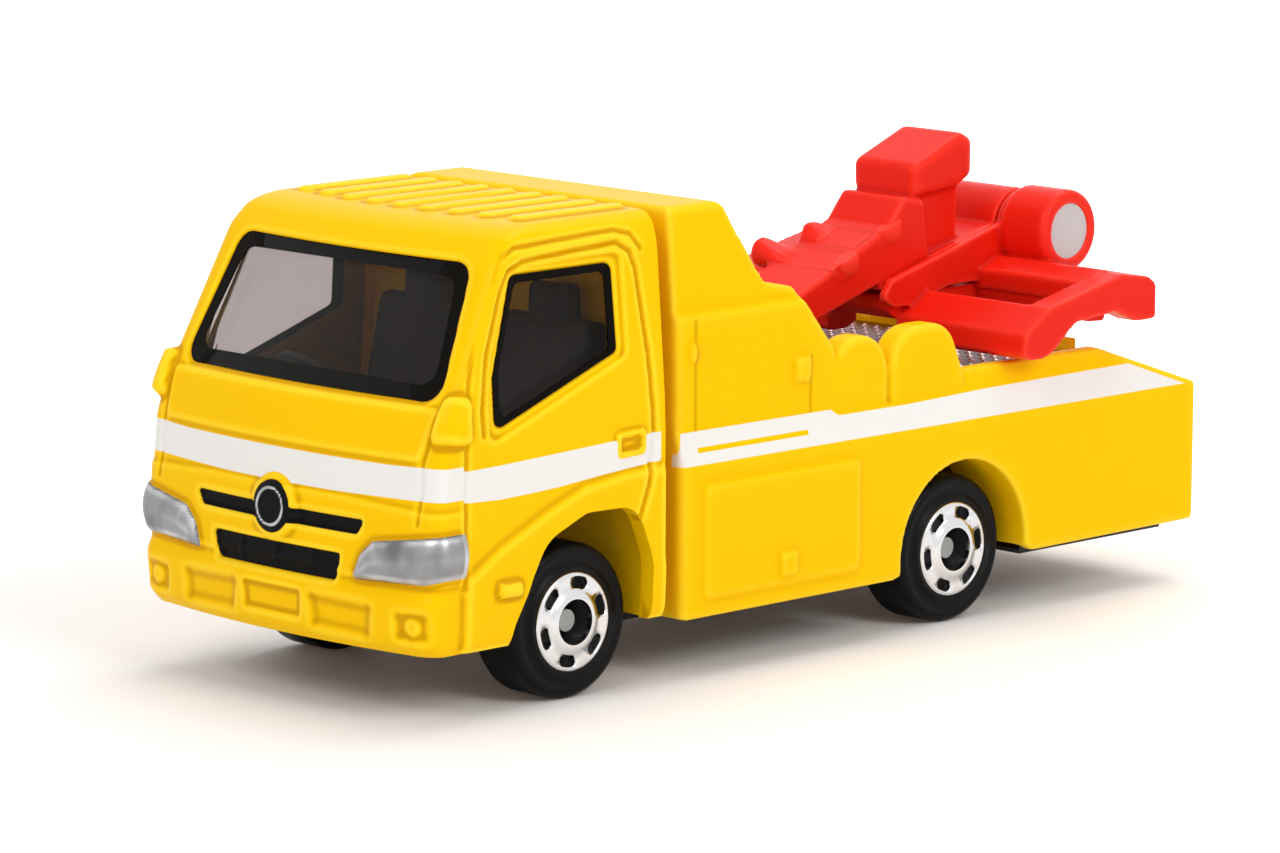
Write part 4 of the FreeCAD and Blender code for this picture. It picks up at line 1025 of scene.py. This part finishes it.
def lay_lozenges(node_tree, finish):
    """Geometry nodes: a small lozenge on each point, turned by its own angle."""
    shape = node_tree.interface.new_socket("Geometry", in_out="INPUT", socket_type="NodeSocketGeometry")
    half_size = node_tree.interface.new_socket("Half size", in_out="INPUT", socket_type="NodeSocketVector")
    node_tree.interface.new_socket("Geometry", in_out="OUTPUT", socket_type="NodeSocketGeometry")
    nodes, links = node_tree.nodes, node_tree.links
    start = nodes.new("NodeGroupInput")
    end = nodes.new("NodeGroupOutput")
    lozenge = nodes.new("GeometryNodeMeshIcoSphere")
    lozenge.inputs["Radius"].default_value = 1.0
    lozenge.inputs["Subdivisions"].default_value = 1
    read = nodes.new("GeometryNodeInputNamedAttribute")
    read.data_type = "FLOAT"
    read.inputs["Name"].default_value = "turn"
    spin = nodes.new("ShaderNodeCombineXYZ")
    place = nodes.new("GeometryNodeInstanceOnPoints")
    whole = nodes.new("GeometryNodeRealizeInstances")
    coat = nodes.new("GeometryNodeSetMaterial")
    coat.inputs["Material"].default_value = finish
    links.new(start.outputs[shape.name], place.inputs["Points"])
    links.new(start.outputs[half_size.name], place.inputs["Scale"])
    links.new(lozenge.outputs["Mesh"], place.inputs["Instance"])
    links.new(read.outputs[0], spin.inputs["Z"])
    links.new(spin.outputs[0], place.inputs["Rotation"])
    links.new(place.outputs[0], whole.inputs[0])
    links.new(whole.outputs[0], coat.inputs[0])
    links.new(coat.outputs[0], end.inputs[0])
    return half_size.identifier


# the sheet's dark maroon is a painted reflection of the red lift above it
deck_painted_reflection = moulded_finish("deck_painted_reflection", (0.12, 0.035, 0.045), 0.3, 900.0, 0.2, metallic=0.85)
tread_silver = moulded_finish("tread_silver", (0.9, 0.86, 0.86), 0.28, 900.0, 0.2, metallic=0.75)
set_finish(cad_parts["deck_plate"].data, deck_painted_reflection)
rows_along = int((TREAD_FRONT_X - TREAD_REAR_X) / TREAD_PITCH) + 1
rows_aside = int(TREAD_HALF_Y / TREAD_PITCH) + 1
spots, turns = [], []
for crossed in (0, 1):
    for i in range(rows_along):
        for j in range(-rows_aside, rows_aside + 1):
            x = TREAD_REAR_X + TREAD_PITCH * (i + 0.5 * crossed)
            y = TREAD_PITCH * (j + 0.5 * crossed)
            on_plate = TREAD_REAR_X < x < TREAD_FRONT_X and abs(y) < TREAD_HALF_Y
            in_notch = x > NOTCH_X and abs(y) < NOTCH_HALF_Y
            by_hump = x > HUMP_X and abs(y) > HUMP_Y
            if on_plate and not in_notch and not by_hump:
                spots.append((x, y, DECK_Z))
                turns.append(TREAD_TURN if crossed else -TREAD_TURN)
tread = mesh_object("deck_tread", spots, [])
store_mask(tread, "turn", turns)
tread_rows = bpy.data.node_groups.new("tread_rows", "GeometryNodeTree")
half_size_input = lay_lozenges(tread_rows, tread_silver)
rows = tread.modifiers.new("rows", "NODES")
rows.node_group = tread_rows
rows[half_size_input] = LOZENGE_HALF
apply_modifiers(tread)
tread.data.shade_smooth()
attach(tread, "root")

# Base plate, rivets and axles.  A black plastic chassis holds the wire axles in its
# saddles, and two bright rivet heads hold it to the cab and the rear body.
chassis_black = moulded_finish("chassis_black", (0.02, 0.02, 0.021), 0.55, 900.0, 0.3, specular=0.3)
rivet_metal = moulded_finish("rivet_metal", (0.66, 0.65, 0.64), 0.32, 1600.0, 0.4, metallic=1.0)
axle_metal = moulded_finish("axle_metal", (0.36, 0.36, 0.35), 0.65, 1600.0, 0.4, metallic=0.2)
stand_in("base_plate", "root", chassis_black, 40)
for end in ("front", "rear"):
    stand_in("rivet_" + end, "root", rivet_metal, 25)
for end in ("front", "rear"):
    stand_in(end + "_axle", end + "_wheelset", axle_metal, 25)

# Wheels.  Tyre and hub are one black plastic moulding pressed on the axle, with a
# bright foil ring hot-stamped on its face.
tyre_black = moulded_finish("tyre_black", (0.004, 0.004, 0.0045), 0.36, 900.0, 0.15, specular=0.1)
wheel_foil = moulded_finish("wheel_foil", (0.76, 0.76, 0.77), 0.16, 500.0, 0.25, metallic=1.0)
for end in ("front", "rear"):
    for hand in ("left", "right"):
        stand_in(end + "_" + hand + "_tyre", end + "_wheelset", tyre_black)
        stand_in(end + "_" + hand + "_ring", end + "_wheelset", wheel_foil)

# Boom.  One red plastic moulding, pivoted behind the housing.  Its cross pins end at
# the beam's far edge and, as two low round ends, on its left face.
RED = (0.80, 0.016, 0.006)
# the red's painted highlight on outer edges, its own red, and its painted shade in hollows
RED_EDGE_SHADING = ((1.0, 0.055, 0.03), RED, (0.5, 0.003, 0.002))
# x and z of the beam's top line, and the stretch that is lowered to it
BEAM_TOP = np.array([(-20.8, 27.4), (-17.1, 25.9), (-12.2, 23.7), (-8.1, 21.95), (-2.7, 19.6)])
LOWERED_X = (-17.2, -4.0)
# y beyond which the pins' far ends stay proud and the width of the change, for the
# two pins ahead of REAR_PIN_X and for the one behind it
REAR_PIN_X = -14.3
PROUD_Y = -3.4
PROUD_WIDTH = 1.2
REAR_PROUD_Y = -1.6
REAR_PROUD_WIDTH = 1.6
# where the mesh is rough after that, down to a depth below the top line
EASED_X = (-14.8, -10.6)
EASED_Y = -1.5
EASED_DEPTH = 1.5
EASED_ROUNDS = 12
PIN_ENDS = ((-13.3, 2.75, 23.8), (-17.6, 2.75, 25.7))
PIN_END_RADII = (1.15, 0.65, 1.15)
PIN_END_PROUD = 0.04
# the pin ends' cavity value, which paints them a lighter red as a painted highlight
PIN_END_PAINTED_HIGHLIGHT = -0.35


def beam_top_z(x):
    return np.interp(x, *BEAM_TOP.T)


def lower_pins(places):
    """Brings what stands over the beam's top down to its top line, but for the pins' far ends."""
    x, y, z = places.T
    over = np.where(x > REAR_PIN_X, ease(y - PROUD_Y, PROUD_WIDTH), ease(y - REAR_PROUD_Y, REAR_PROUD_WIDTH))
    lowered = z - np.maximum(z - beam_top_z(x), 0) * over
    return np.stack([x, y, np.where((x > LOWERED_X[0]) & (x < LOWERED_X[1]), lowered, z)], 1)


def ease_spot(places, edges):
    """Moves the points of one rough spot toward the mean of their neighbours, again and again."""
    x, y, z = places.T
    spot = (x > EASED_X[0]) & (x < EASED_X[1]) & (y < EASED_Y) & (z > beam_top_z(x) - EASED_DEPTH)
    a, b = edges.T
    count = np.bincount(edges.ravel(), minlength=len(places))[:, None]
    for k in range(EASED_ROUNDS):
        total = np.zeros_like(places)
        np.add.at(total, a, places[b])
        np.add.at(total, b, places[a])
        places[spot] = 0.5 * (places + total / count)[spot]
    return places


def pin_ends_mesh():
    """Two flattened balls whose tops end at the beam's top line."""
    bead = bmesh.new()
    for centre in PIN_ENDS:
        grown = bmesh.ops.create_uvsphere(bead, u_segments=32, v_segments=20, radius=1.0)
        for vert in grown["verts"]:
            x, y, z = (c * radius + middle for c, radius, middle in zip(vert.co, PIN_END_RADII, centre))
            vert.co = (x, y, min(z, beam_top_z(x) + PIN_END_PROUD))
    verts = [tuple(vert.co) for vert in bead.verts]
    bead.verts.index_update()
    faces = [[vert.index for vert in face.verts] for face in bead.faces]
    bead.free()
    return verts, faces


red_plastic, tree, shader = new_finish("red_plastic", RED, 0.26, specular=0.1)
tree.links.new(painted_edge_shading(tree, RED_EDGE_SHADING), shader.inputs["Base Color"])
shader.inputs["Subsurface Weight"].default_value = 0.06
shader.inputs["Subsurface Radius"].default_value = (0.8 * MM, 0.2 * MM, 0.1 * MM)
add_peel(tree, shader, 700.0, 0.12)
boom = stand_in("boom", "boom", red_plastic, voxel=0.15, rounds=6, keep=0.5)
settled = lower_pins(vertex_places(boom))
settled = ease_spot(settled, read_rows(boom.data.edges, "vertices", 2, np.int32))
settled = (settled + (FRAME_SHIFT, 0, 0)) * MM
boom.data.vertices.foreach_set("co", settled.astype(np.float32).ravel())
boom.data.update()
store_cavity(boom, STAND_IN_CAVITY, 2)
pin_ends = mesh_object("boom_pin_ends", *pin_ends_mesh())
outward(pin_ends)
pin_ends.data.shade_smooth()
# the pin ends painted a lighter red as a painted highlight
store_mask(pin_ends, "cavity", np.full(len(pin_ends.data.vertices), PIN_END_PAINTED_HIGHLIGHT))
set_finish(pin_ends.data, red_plastic)
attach(pin_ends, "boom")

# Wheel lift.  Two red plastic halves with a window each, clipped on the bright steel
# pin through the boom's tip.  Web and skirt are the red bars beneath and behind them.
WEB = [(-16.8, 20.2, 0.3), (-16.9, 21.1, 0.3), (-28.6, 21.2, 0.3), (-28.6, 19.9, 0.3), (-18.0, 19.4, 0.4)]
WEB_HALF_Y = 3.3
SKIRT = [(-26.0, 21.4, 0.2), (-27.6, 21.4, 0.2), (-28.6, 20.4, 0.3), (-28.2, 19.4, 0.3), (-26.4, 19.5, 0.3)]
SKIRT_HALF_Y = 13.3
for node in ("lift_left", "lift_right"):
    stand_in(node, "wheel_lift", red_plastic, voxel=0.15, rounds=6, keep=0.5)
for name, outline, half_y in (("lift_web", WEB, WEB_HALF_Y), ("lift_skirt", SKIRT, SKIRT_HALF_Y)):
    bar = cross_bar(name, outline, half_y, red_plastic)
    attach(bar, "wheel_lift")
pin_silver = moulded_finish("pin_silver", (0.58, 0.575, 0.57), 0.6, 1100.0, 0.3, metallic=0.35)
stand_in("lift_pin", "wheel_lift", pin_silver, 25)
